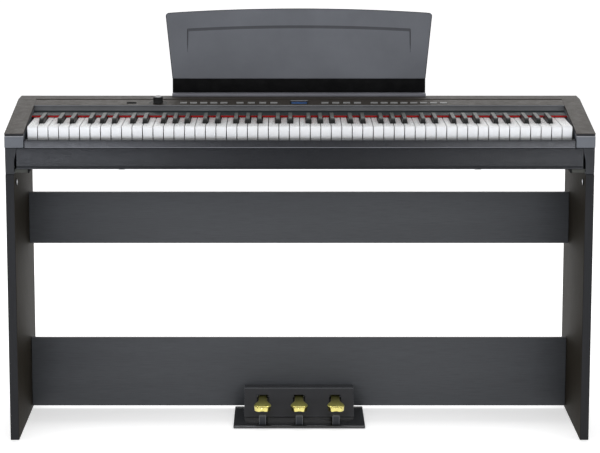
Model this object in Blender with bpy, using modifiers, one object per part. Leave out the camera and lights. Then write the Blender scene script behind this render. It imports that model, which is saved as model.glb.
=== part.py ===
"""A digital piano on its stand: 88 keys, a control panel, a music rest and three pedals.

Metres.  The origin is on the floor under the middle of the whole object, +X is to the
player's right, +Y to the rear and +Z up.  A "depth" is measured backwards from the front
plane of the body, and a "height" upwards from the floor.
"""
import math

import bmesh
import bpy
from mathutils import Matrix, Vector

# ------------------------------------------------------------------ general
GAP = 0.0003                    # between pieces that touch
SLIDING_GAP = 0.0004            # around buttons and pegs

# ------------------------------------------------------------------ keyboard
WHITE_PITCH = 0.0235            # from one white key to the next
WHITE_GAP = 0.0010              # between two white keys
WHITE_VISIBLE = 0.147           # white key in front of the felt
WHITE_HEIGHT = 0.030            # at its front
WHITE_HIDDEN = 0.011            # white key body under the felt and ledge
HEAD_LENGTH = 0.050             # white key in front of the black keys
BLACK_WIDTH = 0.0114
BLACK_TOP_WIDTH = 0.0096
BLACK_RISE = 0.012              # black key above the white ones
BLACK_DEPTH = 0.024             # black key's whole height
BLACK_SLANT = 0.005             # its front leans back by this much
BLACK_GAP = 0.0010              # beside a black key
KEY_SIDE_GAP = 0.0055           # from the end keys to the end blocks
FIRST_NOTE = 21                 # lowest A
LAST_NOTE = 108                 # highest C
FIRST_SINGLE_NOTE = 60          # the octave whose keys move one by one
LAST_SINGLE_NOTE = 71
TAIL_THICKNESS = 0.004
TAIL_PITCH = 0.009              # between the three levels of key tails
TAIL_INSET = 0.0015             # a tail is narrower than its key on each side
RAIL_DEPTH = 0.008              # rail that joins the keys of one moulding
RAIL_EXTRA = 0.0005             # it is thicker than the tails on each side
RAIL_IN_FRONT = 0.014           # rail's rear in front of the pivot
PIVOT_BEHIND_FRONT = 0.220      # key pivot behind the key's front
PIVOT_ROD_RADIUS = 0.002
HOOK_WALL = 0.0037              # jaw of a key's hook over the pivot rod
HOOK_REACH = 0.005              # hook behind the rod's centre

# ------------------------------------------------------------------ body
STAND_HEIGHT = 0.6723           # floor to the underside of the upper body
KEY_FRONT_DEPTH = 0.028         # front plane to the white keys
KEY_TOP_RISE = 0.0447           # white key tops above the stand
SLIP_RISE = 0.0177              # key slip above the stand
SLIP_WALL = 0.003
SLIP_CLEARANCE = 0.002          # slip's rear edge in front of the keys
END_BLOCK_WIDTH = 0.0425
END_FRONT_RISE = 0.0327         # top of the end blocks at the front
CREST_RISE = 0.0747             # highest flat of the body
LEDGE_RUN = 0.053               # shelf between the felt and the panel's upright face
LEDGE_RISE = 0.050              # shelf at its front
LEDGE_SLOPE = 0.003             # shelf's rise to the rear
PANEL_RUN = 0.052               # sloping control panel
STRIP_RUN = 0.066               # flat strip behind it
COVER_WALL = 0.0025
EDGE_CHAMFER = 0.002            # outer edges of bent sheets
BLOCK_WALL = 0.003
BLOCK_BEVEL = 0.0008
GROOVE_DROP = 0.006             # groove below the end blocks' top front edge
GROOVE_HEIGHT = 0.002
GROOVE_DEPTH = 0.0015
FELT_DEPTH = 0.003
FELT_HEIGHT = 0.0036
FELT_CLEARANCE = 0.0006         # above the white keys
CASE_HEIGHT = 0.047
CASE_WALL = 0.004
CASE_INSET = 0.0015             # case front behind the front plane

# ------------------------------------------------------------------ stand
SUPPORT_BELOW_CASE = 0.012      # block between side panel and body, below the case
SUPPORT_TOP_THICKNESS = 0.0250
PANEL_THICKNESS = 0.020
BOARD_BEVEL = 0.0012
STAND_INSET = 0.001             # stand's sides inside the body's sides
PANEL_LENGTH = 0.365            # side panel, front to rear
FLANGE_REACH = 0.028            # support's flange under the case
FLANGE_THICKNESS = 0.009
FLANGE_INSET = 0.004            # flange's ends inside the support's
BAR_THICKNESS = 0.015
BAR_FACE_DEPTH = 0.272
UPPER_BAR_HEIGHT = 0.122
UPPER_BAR_DROP = 0.099          # below the case
LOWER_BAR_HEIGHT = 0.166
LOWER_BAR_CLEARANCE = 0.008     # above the floor
BOLT_RADIUS = 0.008
BOLT_HEAD = 0.0025
BOLT_SHANK_RADIUS = 0.003
BOLT_LENGTH = 0.012
BOLT_DEPTH = 0.030
BOLT_DROP = 0.022               # below the side panel's top

# ------------------------------------------------------------------ pedals
PEDAL_PITCH = 0.0855
PEDAL_BASE_WIDTH = 0.306
PEDAL_BASE_FRONT = 0.0123       # base in front of the pedals' tips
PEDAL_BASE_HEIGHT = 0.007
COVER_WIDTH = 0.258
COVER_RUN = 0.100
COVER_TOP_RUN = 0.033
COVER_TOP = 0.060
COVER_SHELL = 0.003
SLOT_PLAY = 0.003               # cover's slots beside the arms
SLOT_BELOW = 0.008              # and below and above them
SLOT_ABOVE = 0.004
HOLLOW_CORNER = 0.45            # share of the front wall's run that the hollow's top corner leaves
LUG_THICKNESS = 0.005
LUG_RUN = 0.018
LUG_ABOVE_AXLE = 0.008
LUG_INSET = 0.004               # end lugs inside the cover's sides
AXLE_RUN = 0.017                # axle in front of the lower bar
AXLE_HEIGHT = 0.036
AXLE_RADIUS = 0.003
AXLE_PLAY = 0.0003
HUB_RADIUS = 0.007
ARM_THICKNESS = 0.005
ARM_HALF_WIDTH = 0.0110
PAD_HALF_WIDTH = 0.0195
PEDAL_REACH = 0.147             # axle to tip
PEDAL_NECK = 0.080              # the arm starts to widen this far from the tip
PEDAL_SHOULDER = 0.020          # and is a full-width pad from here
TIP_RISE = 0.013                # pad's top above the axle, at the tip
ARM_RISE = 0.0075               # arm's top above the axle, at the axle
LIP_HEIGHT = 0.0125
LIP_DEPTH = 0.007
POST_HEIGHT = 0.0275
POST_WIDTH = 0.016
POST_DEPTH = 0.010
POST_BEHIND_TIP = 0.001
STOP_RAIL_HEIGHT = 0.002
STOP_RAIL_END = 0.004           # rail beyond the outer posts
STOP_RAIL_MARGIN = 0.001        # and in front of and behind them
SPRING_RADIUS = 0.0045
SPRING_WIRE = 0.0008            # wire radius
SPRING_TURNS = 4
SPRING_IN_FRONT = 0.028         # spring in front of the axle

# ------------------------------------------------------------------ controls
CONTROL_RUN = 0.018             # control line behind the panel's front edge
BUTTON_WIDTH = 0.017
BUTTON_LENGTH = 0.008
BUTTON_PROUD = 0.0014
BUTTON_WEB = 0.001
POWER_WIDTH = 0.021
BOARD_THICKNESS = 0.0016
BOARD_DROP = 0.0065             # panel's outer face to the board's top
DISPLAY_WIDTH = 0.042
DISPLAY_LENGTH = 0.028
DISPLAY_PROUD = 0.0006
KNOB_RADIUS = 0.0115
KNOB_HEIGHT = 0.016
KNOB_STEM_RADIUS = 0.003
KNOB_LIFT = 0.0008              # knob's skirt above the panel
KNOB_RIM = 0.0012               # bevel of its top edge
POWER_X = -0.391
KNOB_X = -0.329
DISPLAY_X = 0.0
BUTTON_ROWS = (                 # name, first button's X, spacing, buttons
    ("button_row_1", -0.2700, 0.0236, 5),
    ("button_row_2", -0.1380, 0.0263, 4),
    ("button_row_3", 0.0600, 0.0253, 4),
    ("button_row_4", 0.1750, 0.0231, 8),
)

# ------------------------------------------------------------------ music rest
REST_HALF_WIDTH = 0.300
REST_TOP_HALF_WIDTH = 0.319
REST_HEIGHT = 0.203             # top of the rest above the crest
REST_BAND = 0.042               # upright band at its foot
REST_ARCH = 0.011               # centre of its top edge above the corners
REST_CORNER = 0.008
REST_LEAN = math.radians(16)
REST_THICKNESS = 0.005
REST_FROM_REAR = 0.005          # band's face in front of the body's rear
LIP_RUN = 0.023
REST_LIP_HEIGHT = 0.0075
GRIP_THICKNESS = 0.0012
GRIP_SIDE_INSET = 0.001
GRIP_TOP_INSET = 0.004
PEG_RADIUS = 0.003
PEG_LENGTH = 0.022
PEG_X = 0.220

# ------------------------------------------------------------------ inside the body
FRAME_PLATE = 0.002
FRAME_FRONT = 0.006             # plate's front behind the key fronts
FRAME_REAR = 0.014              # plate's rear behind the pivot
FRAME_SIDE = 0.003
SPEAKER_RADIUS = 0.050
SPEAKER_FROM_SIDE = 0.1527      # its centre inside the case's side
SPEAKER_DEPTH = 0.150
SPEAKER_HEIGHT = 0.032
MAGNET_HEIGHT = 0.014
BASKET_RIM = 0.003
CONE_RISE = 0.012
CONE_DOME = 0.009
GRILLE_SLOTS = 5
GRILLE_PITCH = 0.014
GRILLE_WIDTH = 0.006
JACK_PANEL_WIDTH = 0.110
JACK_PANEL_HEIGHT = 0.026
JACK_X = -0.250                 # centre of the rear jack panel
JACK_RADIUS = 0.0034
JACK_PITCH = 0.026
INLET_WIDTH = 0.011
INLET_HEIGHT = 0.009
MAIN_BOARD_SPAN = (-0.070, 0.110)       # left and right edges
MAIN_BOARD_FRONT = 0.040        # board's front behind the panel's
MAIN_BOARD_REAR = 0.025         # board's rear in front of the body's
STANDOFF_HEIGHT = 0.004         # posts between the case floor and the main board
STANDOFF_WIDTH = 0.006
STANDOFF_INSET = 0.004          # from the board's edges
CHIP_WIDTH = 0.024
CHIP_LENGTH = 0.020
CHIP_HEIGHT = 0.0044            # above the board
CHIP_PITCH = 0.034
CONTACT_RUN = 0.030             # contact board under the keys, front to rear
CONTACT_BEHIND_FRONT = 0.105    # its front behind the key fronts
CONTACT_END = 0.004             # its ends inside the keys' width

# ------------------------------------------------------------------ derived sizes
WHITE_NOTES = [n for n in range(FIRST_NOTE, LAST_NOTE + 1) if n % 12 in (0, 2, 4, 5, 7, 9, 11)]
BLACK_NOTES = [n for n in range(FIRST_NOTE, LAST_NOTE + 1) if n not in WHITE_NOTES]
KEYS_WIDTH = WHITE_PITCH * len(WHITE_NOTES)
BLOCK_INNER = KEYS_WIDTH / 2 + KEY_SIDE_GAP
BODY_HALF_WIDTH = BLOCK_INNER + END_BLOCK_WIDTH
FELT_FACE = KEY_FRONT_DEPTH + WHITE_VISIBLE
LEDGE_FRONT = FELT_FACE + FELT_DEPTH + GAP
PANEL_FRONT = FELT_FACE + LEDGE_RUN
CREST_DEPTH = PANEL_FRONT + PANEL_RUN
BODY_DEPTH = CREST_DEPTH + STRIP_RUN
SLOPE = math.atan2(CREST_RISE - END_FRONT_RISE, CREST_DEPTH)
KEY_TOP = STAND_HEIGHT + KEY_TOP_RISE
CREST = STAND_HEIGHT + CREST_RISE
CASE_TOP = STAND_HEIGHT - GAP
CASE_BOTTOM = CASE_TOP - CASE_HEIGHT
PIVOT_DEPTH = KEY_FRONT_DEPTH + PIVOT_BEHIND_FRONT
PIVOT_HEIGHT = KEY_TOP - WHITE_HEIGHT + TAIL_PITCH + TAIL_THICKNESS
STAND_HALF_WIDTH = BODY_HALF_WIDTH - STAND_INSET
SUPPORT_HEIGHT = CASE_HEIGHT + SUPPORT_BELOW_CASE
SIDE_PANEL_HEIGHT = STAND_HEIGHT - GAP - SUPPORT_HEIGHT - GAP
SUPPORT_INNER = STAND_HALF_WIDTH - SUPPORT_TOP_THICKNESS
CASE_HALF_WIDTH = SUPPORT_INNER - GAP
SPEAKER_X = CASE_HALF_WIDTH - SPEAKER_FROM_SIDE
SIDE_PANEL_INNER = STAND_HALF_WIDTH - PANEL_THICKNESS
BAR_HALF_WIDTH = SIDE_PANEL_INNER - GAP
PEDAL_REAR = BAR_FACE_DEPTH - GAP
AXLE_DEPTH = BAR_FACE_DEPTH - AXLE_RUN
TIP_DEPTH = AXLE_DEPTH - PEDAL_REACH
REST_FACE = BODY_DEPTH - REST_FROM_REAR
REST_SLANT = (REST_HEIGHT - REST_BAND + REST_THICKNESS) / math.cos(REST_LEAN)
REST_BACK = REST_FACE + REST_SLANT * math.sin(REST_LEAN) + REST_THICKNESS * math.cos(REST_LEAN)
OBJECT_DEPTH = max(REST_BACK, PANEL_LENGTH, BODY_DEPTH)


def y_at(depth):
    """World Y of a depth behind the front plane."""
    return depth - OBJECT_DEPTH / 2


def slope_height(depth):
    """Height of the body's sloping top plane at a depth."""
    return STAND_HEIGHT + END_FRONT_RISE + depth * math.tan(SLOPE)


# ------------------------------------------------------------------ scene and materials
def clear_scene():
    for item in list(bpy.data.objects):
        bpy.data.objects.remove(item, do_unlink=True)


def make_material(name, colour, roughness, metallic=0.0):
    made = bpy.data.materials.new(name)
    made.use_nodes = True
    shader = made.node_tree.nodes["Principled BSDF"]
    shader.inputs["Base Color"].default_value = (*colour, 1.0)
    shader.inputs["Roughness"].default_value = roughness
    shader.inputs["Metallic"].default_value = metallic
    return made


clear_scene()
PIANO = bpy.data.collections.new("digital_piano")
bpy.context.scene.collection.children.link(PIANO)

BOARD_BLACK = ("board_black", (0.035, 0.035, 0.038), 0.55, 0.0)
BODY_GREY = ("body_grey", (0.085, 0.083, 0.080), 0.50, 0.0)
CASE_GREY = ("case_grey", (0.060, 0.066, 0.078), 0.70, 0.0)
KEY_WHITE = ("key_white", (0.880, 0.870, 0.850), 0.25, 0.0)
KEY_BLACK = ("key_black", (0.018, 0.018, 0.019), 0.38, 0.0)
FELT_RED = ("felt_red", (0.300, 0.015, 0.030), 0.95, 0.0)
PEDAL_BLACK = ("pedal_black", (0.012, 0.012, 0.013), 0.15, 0.0)
BRASS = ("brass", (0.780, 0.600, 0.230), 0.22, 1.0)
STEEL = ("steel", (0.550, 0.560, 0.580), 0.35, 1.0)
RUBBER_GREY = ("rubber_grey", (0.110, 0.115, 0.125), 0.80, 0.0)
BOARD_GREEN = ("board_green", (0.020, 0.130, 0.060), 0.45, 0.0)
CONE_BLACK = ("cone_black", (0.030, 0.030, 0.030), 0.85, 0.0)
GLASS_BLUE = ("glass_blue", (0.020, 0.035, 0.110), 0.10, 0.0)
REST_GREY = ("rest_grey", (0.125, 0.128, 0.140), 0.60, 0.0)
GRIP_BLACK = ("grip_black", (0.010, 0.010, 0.011), 0.90, 0.0)
BUTTON_GREY = ("button_grey", (0.160, 0.160, 0.165), 0.50, 0.0)


# ------------------------------------------------------------------ shape helpers
def evaluated_mesh(data):
    """The mesh that a temporary object with this data evaluates to."""
    item = bpy.data.objects.new("temporary", data)
    bpy.context.scene.collection.objects.link(item)
    graph = bpy.context.evaluated_depsgraph_get()
    made = bpy.data.meshes.new_from_object(item.evaluated_get(graph))
    bpy.data.objects.remove(item, do_unlink=True)
    return made


def tidy(mesh):
    """Welds loose caps and turns every face outwards."""
    work = bmesh.new()
    work.from_mesh(mesh)
    bmesh.ops.remove_doubles(work, verts=work.verts, dist=1e-6)
    bmesh.ops.recalc_face_normals(work, faces=work.faces)
    work.to_mesh(mesh)
    work.free()
    return mesh


def corners_only(outline):
    """The outline without repeated points and points part-way along a straight edge."""
    kept = [Vector(point) for index, point in enumerate(outline) if point != outline[index - 1]]
    turning = []
    for index, point in enumerate(kept):
        before = point - kept[index - 1]
        after = kept[(index + 1) % len(kept)] - point
        if abs(before.cross(after)) > 1e-9:
            turning.append(tuple(point))
    return turning


def plate(outline, thickness):
    """A flat plate in XY with its middle at z = 0."""
    outline = corners_only(outline)
    curve = bpy.data.curves.new("outline", 'CURVE')
    curve.dimensions = '2D'
    curve.fill_mode = 'BOTH'
    curve.extrude = thickness / 2
    spline = curve.splines.new('POLY')
    spline.points.add(len(outline) - 1)
    for point, (x, y) in zip(spline.points, outline):
        point.co = (x, y, 0.0, 1.0)
    spline.use_cyclic_u = True
    return tidy(evaluated_mesh(curve))


def side_plate(profile, x_low, x_high):
    """A profile of (depth, height) points run along X."""
    mesh = plate([(y_at(depth), height) for depth, height in profile], x_high - x_low)
    turn = Matrix(((0, 0, 1, (x_low + x_high) / 2), (1, 0, 0, 0), (0, 1, 0, 0), (0, 0, 0, 1)))
    mesh.transform(turn)
    return mesh


def front_plate(outline, y_low, y_high):
    """An outline of (x, height) points run along Y."""
    mesh = plate(outline, y_high - y_low)
    turn = Matrix(((1, 0, 0, 0), (0, 0, -1, (y_low + y_high) / 2), (0, 1, 0, 0), (0, 0, 0, 1)))
    mesh.transform(turn)
    return mesh


def top_plate(outline, low, high):
    """An outline of (x, depth) points run up from one height to another."""
    mesh = plate([(x, y_at(depth)) for x, depth in outline], high - low)
    mesh.transform(Matrix.Translation((0, 0, (low + high) / 2)))
    return mesh


def block(x_span, depth_span, height_span):
    """A box between two X values, two depths and two heights."""
    work = bmesh.new()
    bmesh.ops.create_cube(work, size=1)
    spans = (x_span, tuple(y_at(depth) for depth in depth_span), height_span)
    size = [high - low for low, high in spans]
    middle = [(high + low) / 2 for low, high in spans]
    bmesh.ops.scale(work, vec=size, verts=work.verts)
    bmesh.ops.translate(work, vec=middle, verts=work.verts)
    mesh = bpy.data.meshes.new("block")
    work.to_mesh(mesh)
    work.free()
    return mesh


def rod(radius, length, centre, axis='X', segments=16):
    """A cylinder along X, Y or Z about its centre."""
    work = bmesh.new()
    bmesh.ops.create_cone(work, cap_ends=True, segments=segments, radius1=radius,
                          radius2=radius, depth=length)
    mesh = bpy.data.meshes.new("rod")
    work.to_mesh(mesh)
    work.free()
    turns = {'X': Matrix.Rotation(math.pi / 2, 4, 'Y'),
             'Y': Matrix.Rotation(math.pi / 2, 4, 'X'),
             'Z': Matrix.Identity(4)}
    mesh.transform(Matrix.Translation(centre) @ turns[axis])
    return mesh


def turned(profile, steps):
    """A solid turned about Z from (radius, height) points, listed from top to bottom."""
    work = bmesh.new()
    corners = [work.verts.new((radius, 0, height)) for radius, height in profile]
    for first, second in zip(corners, corners[1:]):
        work.edges.new((first, second))
    mesh = bpy.data.meshes.new("profile")
    work.to_mesh(mesh)
    work.free()
    item = bpy.data.objects.new("temporary", mesh)
    bpy.context.scene.collection.objects.link(item)
    screw = item.modifiers.new("turn", 'SCREW')
    screw.steps = steps
    screw.render_steps = steps
    screw.use_merge_vertices = True
    screw.merge_threshold = 0.00005
    graph = bpy.context.evaluated_depsgraph_get()
    made = bpy.data.meshes.new_from_object(item.evaluated_get(graph))
    bpy.data.objects.remove(item, do_unlink=True)
    return tidy(made)


def combine(base, others, operation):
    """Joins, cuts or trims a mesh with others, one after another."""
    for other in others:
        body = bpy.data.objects.new("body", base)
        tool = bpy.data.objects.new("tool", other)
        bpy.context.scene.collection.objects.link(body)
        bpy.context.scene.collection.objects.link(tool)
        step = body.modifiers.new("combine", 'BOOLEAN')
        step.operation = operation
        step.object = tool
        graph = bpy.context.evaluated_depsgraph_get()
        base = bpy.data.meshes.new_from_object(body.evaluated_get(graph))
        bpy.data.objects.remove(body, do_unlink=True)
        bpy.data.objects.remove(tool, do_unlink=True)
    return base


def bevelled(mesh, width):
    """The mesh with its sharp edges taken off."""
    item = bpy.data.objects.new("temporary", mesh)
    bpy.context.scene.collection.objects.link(item)
    edge = item.modifiers.new("edges", 'BEVEL')
    edge.width = width
    edge.segments = 1
    edge.limit_method = 'ANGLE'
    edge.angle_limit = math.radians(50)
    graph = bpy.context.evaluated_depsgraph_get()
    made = bpy.data.meshes.new_from_object(item.evaluated_get(graph))
    bpy.data.objects.remove(item, do_unlink=True)
    return made


def together(meshes):
    """Several meshes that don't touch, held as one so that one Boolean can use them."""
    work = bmesh.new()
    for mesh in meshes:
        work.from_mesh(mesh)
    joined = bpy.data.meshes.new("together")
    work.to_mesh(joined)
    work.free()
    return joined


def add_part(name, mesh, look, origin=(0, 0, 0), smooth=False, turn=0.0):
    """Places a mesh as a named part with its origin where it turns or slides."""
    mesh.transform(Matrix.Rotation(-turn, 4, 'X') @ Matrix.Translation(-Vector(origin)))
    mesh.name = name
    item = bpy.data.objects.new(name, mesh)
    item.location = origin
    item.rotation_euler = (turn, 0, 0)
    PIANO.objects.link(item)
    shade, colour, roughness, metallic = look
    mesh.materials.clear()
    mesh.materials.append(make_material(name + "_" + shade, colour, roughness, metallic))
    if smooth:
        mesh.shade_smooth()
        mesh.set_sharp_from_angle(angle=math.radians(35))
    return item


def offset_path(path, distance):
    """The path moved sideways, to the right of its direction, with mitred corners."""
    moved = []
    for index, point in enumerate(path):
        before = Vector(path[max(index - 1, 0)])
        here = Vector(point)
        after = Vector(path[min(index + 1, len(path) - 1)])
        first = (here - before) if index else (after - here)
        second = (after - here) if index < len(path) - 1 else first
        first_side = Vector((first.y, -first.x)).normalized()
        second_side = Vector((second.y, -second.x)).normalized()
        middle = (first_side + second_side).normalized()
        moved.append(here + middle * distance / middle.dot(first_side))
    return [tuple(point) for point in moved]


def shell_profile(path, wall):
    """Closed outline of a bent sheet whose outer face is the path."""
    return list(path) + offset_path(path, wall)[::-1]


# ------------------------------------------------------------------ keys
def white_left(index):
    return index * WHITE_PITCH - KEYS_WIDTH / 2


def black_centre(note):
    """Black keys share C to E and F to B out evenly."""
    octave_start = white_left(WHITE_NOTES.index(note - 1 if note - 1 in WHITE_NOTES else note + 1))
    step = note % 12
    white_below = {1: 0, 3: 1, 6: 3, 8: 4, 10: 5}[step]
    octave_start -= white_below * WHITE_PITCH
    if step < 5:
        return octave_start + step_centre(step, 0, 3 * WHITE_PITCH / 5)
    return octave_start + 3 * WHITE_PITCH + step_centre(step, 5, 4 * WHITE_PITCH / 7)


def step_centre(step, first_step, slot):
    return (step - first_step + 0.5) * slot


def white_bounds(note):
    """Left and right edges of a white key at its head and between the black keys."""
    left = white_left(WHITE_NOTES.index(note)) + WHITE_GAP / 2
    right = left + WHITE_PITCH - WHITE_GAP
    clear = BLACK_WIDTH / 2 + BLACK_GAP
    tail_left = black_centre(note - 1) + clear if note - 1 in BLACK_NOTES else left
    tail_right = black_centre(note + 1) - clear if note + 1 in BLACK_NOTES else right
    return left, right, tail_left, tail_right


def white_body(note):
    left, right, tail_left, tail_right = white_bounds(note)
    front = KEY_FRONT_DEPTH
    head = front + HEAD_LENGTH - BLACK_GAP
    rear = FELT_FACE + WHITE_HIDDEN
    outline = [(left, front), (right, front)]
    outline += [(right, head), (tail_right, head)] if tail_right < right else []
    outline += [(tail_right, rear), (tail_left, rear)]
    outline += [(tail_left, head), (left, head)] if tail_left > left else []
    return top_plate(outline, KEY_TOP - WHITE_HEIGHT, KEY_TOP), (tail_left, tail_right)


def black_body(note):
    centre = black_centre(note)
    front = KEY_FRONT_DEPTH + HEAD_LENGTH
    rear = FELT_FACE - FELT_CLEARANCE * 2
    top = KEY_TOP + BLACK_RISE
    profile = [(front, top - BLACK_DEPTH), (rear, top - BLACK_DEPTH), (rear, top),
               (front + BLACK_SLANT, top)]
    mesh = side_plate(profile, centre - BLACK_WIDTH / 2, centre + BLACK_WIDTH / 2)
    for vertex in mesh.vertices:
        if vertex.co.z > top - BLACK_RISE / 2:
            side = math.copysign(BLACK_TOP_WIDTH / 2, vertex.co.x - centre)
            vertex.co.x = centre + side
    return mesh, (centre - BLACK_WIDTH / 2, centre + BLACK_WIDTH / 2)


def tail_level(level):
    low = KEY_TOP - WHITE_HEIGHT + TAIL_THICKNESS / 2 + level * TAIL_PITCH
    return low, low + TAIL_THICKNESS


def key_tail(edges, body_rear, level):
    """The strip that carries a key back to its hook over the pivot rod."""
    low, high = tail_level(level)
    slot = PIVOT_ROD_RADIUS + GAP
    hook_front = PIVOT_DEPTH - slot - HOOK_WALL * 1.5
    hook_rear = PIVOT_DEPTH + HOOK_REACH
    hook_low = min(low, PIVOT_HEIGHT - slot - HOOK_WALL)
    hook_high = max(high, PIVOT_HEIGHT + slot + HOOK_WALL)
    front = body_rear - TAIL_THICKNESS
    profile = [(front, low), (hook_front, low), (hook_front, hook_low), (hook_rear, hook_low),
               (hook_rear, PIVOT_HEIGHT - slot), (PIVOT_DEPTH - slot, PIVOT_HEIGHT - slot),
               (PIVOT_DEPTH - slot, PIVOT_HEIGHT + slot), (hook_rear, PIVOT_HEIGHT + slot),
               (hook_rear, hook_high), (hook_front, hook_high), (hook_front, high), (front, high)]
    return side_plate(profile, edges[0] + TAIL_INSET, edges[1] - TAIL_INSET)


def key_shape(note):
    """Body, tail, side edges of the tail and tail level of one key."""
    if note in WHITE_NOTES:
        body, edges = white_body(note)
        level = WHITE_NOTES.index(note) % 2
        rear = FELT_FACE + WHITE_HIDDEN
    else:
        body, edges = black_body(note)
        level = 2
        rear = FELT_FACE - FELT_CLEARANCE * 2
    return body, key_tail(edges, rear, level), edges, level


def key_moulding(notes):
    """Several keys of one level joined by a rail in front of their hooks."""
    shapes = [key_shape(note) for note in notes]
    keys = combine(together([shape[0] for shape in shapes]),
                   [together([shape[1] for shape in shapes])], 'UNION')
    if len(notes) == 1:
        return keys
    low, high = tail_level(shapes[0][3])
    rail_rear = PIVOT_DEPTH - RAIL_IN_FRONT
    rail = block((shapes[0][2][0] + TAIL_INSET / 2, shapes[-1][2][1] - TAIL_INSET / 2),
                 (rail_rear - RAIL_DEPTH, rail_rear), (low - RAIL_EXTRA, high + RAIL_EXTRA))
    return combine(keys, [rail], 'UNION')


def build_keys():
    pivot = (0, y_at(PIVOT_DEPTH), PIVOT_HEIGHT)
    steps = ("c", "c_sharp", "d", "d_sharp", "e", "f", "f_sharp", "g", "g_sharp", "a", "a_sharp", "b")
    for note in range(FIRST_SINGLE_NOTE, LAST_SINGLE_NOTE + 1):
        look = KEY_WHITE if note in WHITE_NOTES else KEY_BLACK
        name = "key_" + steps[note % 12] + str(note // 12 - 1)
        add_part(name, key_moulding([note]), look, pivot)
    for side, first, last in (("bass", FIRST_NOTE, FIRST_SINGLE_NOTE - 1),
                              ("treble", LAST_SINGLE_NOTE + 1, LAST_NOTE)):
        whites = [n for n in WHITE_NOTES if first <= n <= last]
        blacks = [n for n in BLACK_NOTES if first <= n <= last]
        even = [n for n in whites if WHITE_NOTES.index(n) % 2 == 0]
        odd = [n for n in whites if WHITE_NOTES.index(n) % 2 == 1]
        add_part(side + "_white_keys_a", key_moulding(even), KEY_WHITE, pivot)
        add_part(side + "_white_keys_b", key_moulding(odd), KEY_WHITE, pivot)
        add_part(side + "_black_keys", key_moulding(blacks), KEY_BLACK, pivot)


def build_key_frame():
    """Sheet steel chassis with an upright at each end for the pivot rod, and the rod."""
    low = STAND_HEIGHT + GAP
    side = BLOCK_INNER - GAP * 4
    rear = PIVOT_DEPTH + FRAME_REAR
    frame = block((-side, side), (KEY_FRONT_DEPTH + FRAME_FRONT, rear), (low, low + FRAME_PLATE))
    ends = [block((x, x + FRAME_SIDE), (PIVOT_DEPTH - FRAME_REAR, rear - GAP),
                  (low + FRAME_PLATE / 2, PIVOT_HEIGHT + PIVOT_ROD_RADIUS * 3))
            for x in (-side, side - FRAME_SIDE)]
    centre = (0, y_at(PIVOT_DEPTH), PIVOT_HEIGHT)
    frame = combine(frame, [together(ends)], 'UNION')
    frame = combine(frame, [rod(PIVOT_ROD_RADIUS + GAP, side * 2.2, centre)], 'DIFFERENCE')
    add_part("key_frame", frame, STEEL)
    add_part("key_pivot_rod", rod(PIVOT_ROD_RADIUS, side * 2 - GAP, centre, segments=12), STEEL,
             smooth=True)


def build_felt():
    low = KEY_TOP + FELT_CLEARANCE
    width = BLOCK_INNER - GAP
    felt = block((-width, width), (FELT_FACE, FELT_FACE + FELT_DEPTH), (low, low + FELT_HEIGHT))
    add_part("key_felt", felt, FELT_RED)


# ------------------------------------------------------------------ body
def build_bottom_case():
    """Open tray with speaker grilles and an opening for the rear jacks."""
    front = CASE_INSET
    rear = BODY_DEPTH - CASE_INSET
    tray = block((-CASE_HALF_WIDTH, CASE_HALF_WIDTH), (front, rear), (CASE_BOTTOM, CASE_TOP))
    inner = CASE_HALF_WIDTH - CASE_WALL
    hollow = block((-inner, inner), (front + CASE_WALL, rear - CASE_WALL),
                   (CASE_BOTTOM + CASE_WALL, CASE_TOP + CASE_WALL))
    slots = []
    for centre in (-SPEAKER_X, SPEAKER_X):
        for index in range(GRILLE_SLOTS):
            across = (index - (GRILLE_SLOTS - 1) / 2) * GRILLE_PITCH
            reach = math.sqrt((SPEAKER_RADIUS * 0.8) ** 2 - across ** 2)
            x = centre + across
            slots.append(block((x - GRILLE_WIDTH / 2, x + GRILLE_WIDTH / 2),
                               (SPEAKER_DEPTH - reach, SPEAKER_DEPTH + reach),
                               (CASE_BOTTOM - CASE_WALL, CASE_BOTTOM + CASE_WALL * 2)))
    middle = jack_height()
    slots.append(block((JACK_X - JACK_PANEL_WIDTH / 2, JACK_X + JACK_PANEL_WIDTH / 2),
                       (rear - CASE_WALL * 2, rear + CASE_WALL),
                       (middle - JACK_PANEL_HEIGHT / 2, middle + JACK_PANEL_HEIGHT / 2)))
    case = combine(combine(tray, [hollow], 'DIFFERENCE'), [together(slots)], 'DIFFERENCE')
    add_part("bottom_case", case, CASE_GREY)


def jack_height():
    return (CASE_BOTTOM + CASE_TOP) / 2


def build_rear_jacks():
    """Plate in the case's rear wall with two headphone sockets and a power inlet."""
    rear = BODY_DEPTH - CASE_INSET
    half = JACK_PANEL_WIDTH / 2 - GAP
    middle = jack_height()
    low = middle - JACK_PANEL_HEIGHT / 2 + GAP
    high = middle + JACK_PANEL_HEIGHT / 2 - GAP
    panel = block((JACK_X - half, JACK_X + half), (rear - CASE_WALL * 3, rear - CASE_INSET), (low, high))
    y_middle = y_at(rear - CASE_WALL * 2)
    holes = [rod(JACK_RADIUS, CASE_WALL * 4, (JACK_X - JACK_PITCH * step, y_middle, middle), 'Y', 12)
             for step in (0.2, 1.2)]
    inlet = JACK_X + JACK_PITCH
    holes.append(block((inlet - INLET_WIDTH / 2, inlet + INLET_WIDTH / 2), (rear - CASE_WALL * 4, rear),
                       (middle - INLET_HEIGHT / 2, middle + INLET_HEIGHT / 2)))
    add_part("rear_jacks", combine(panel, [together(holes)], 'DIFFERENCE'), PEDAL_BLACK)


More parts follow.
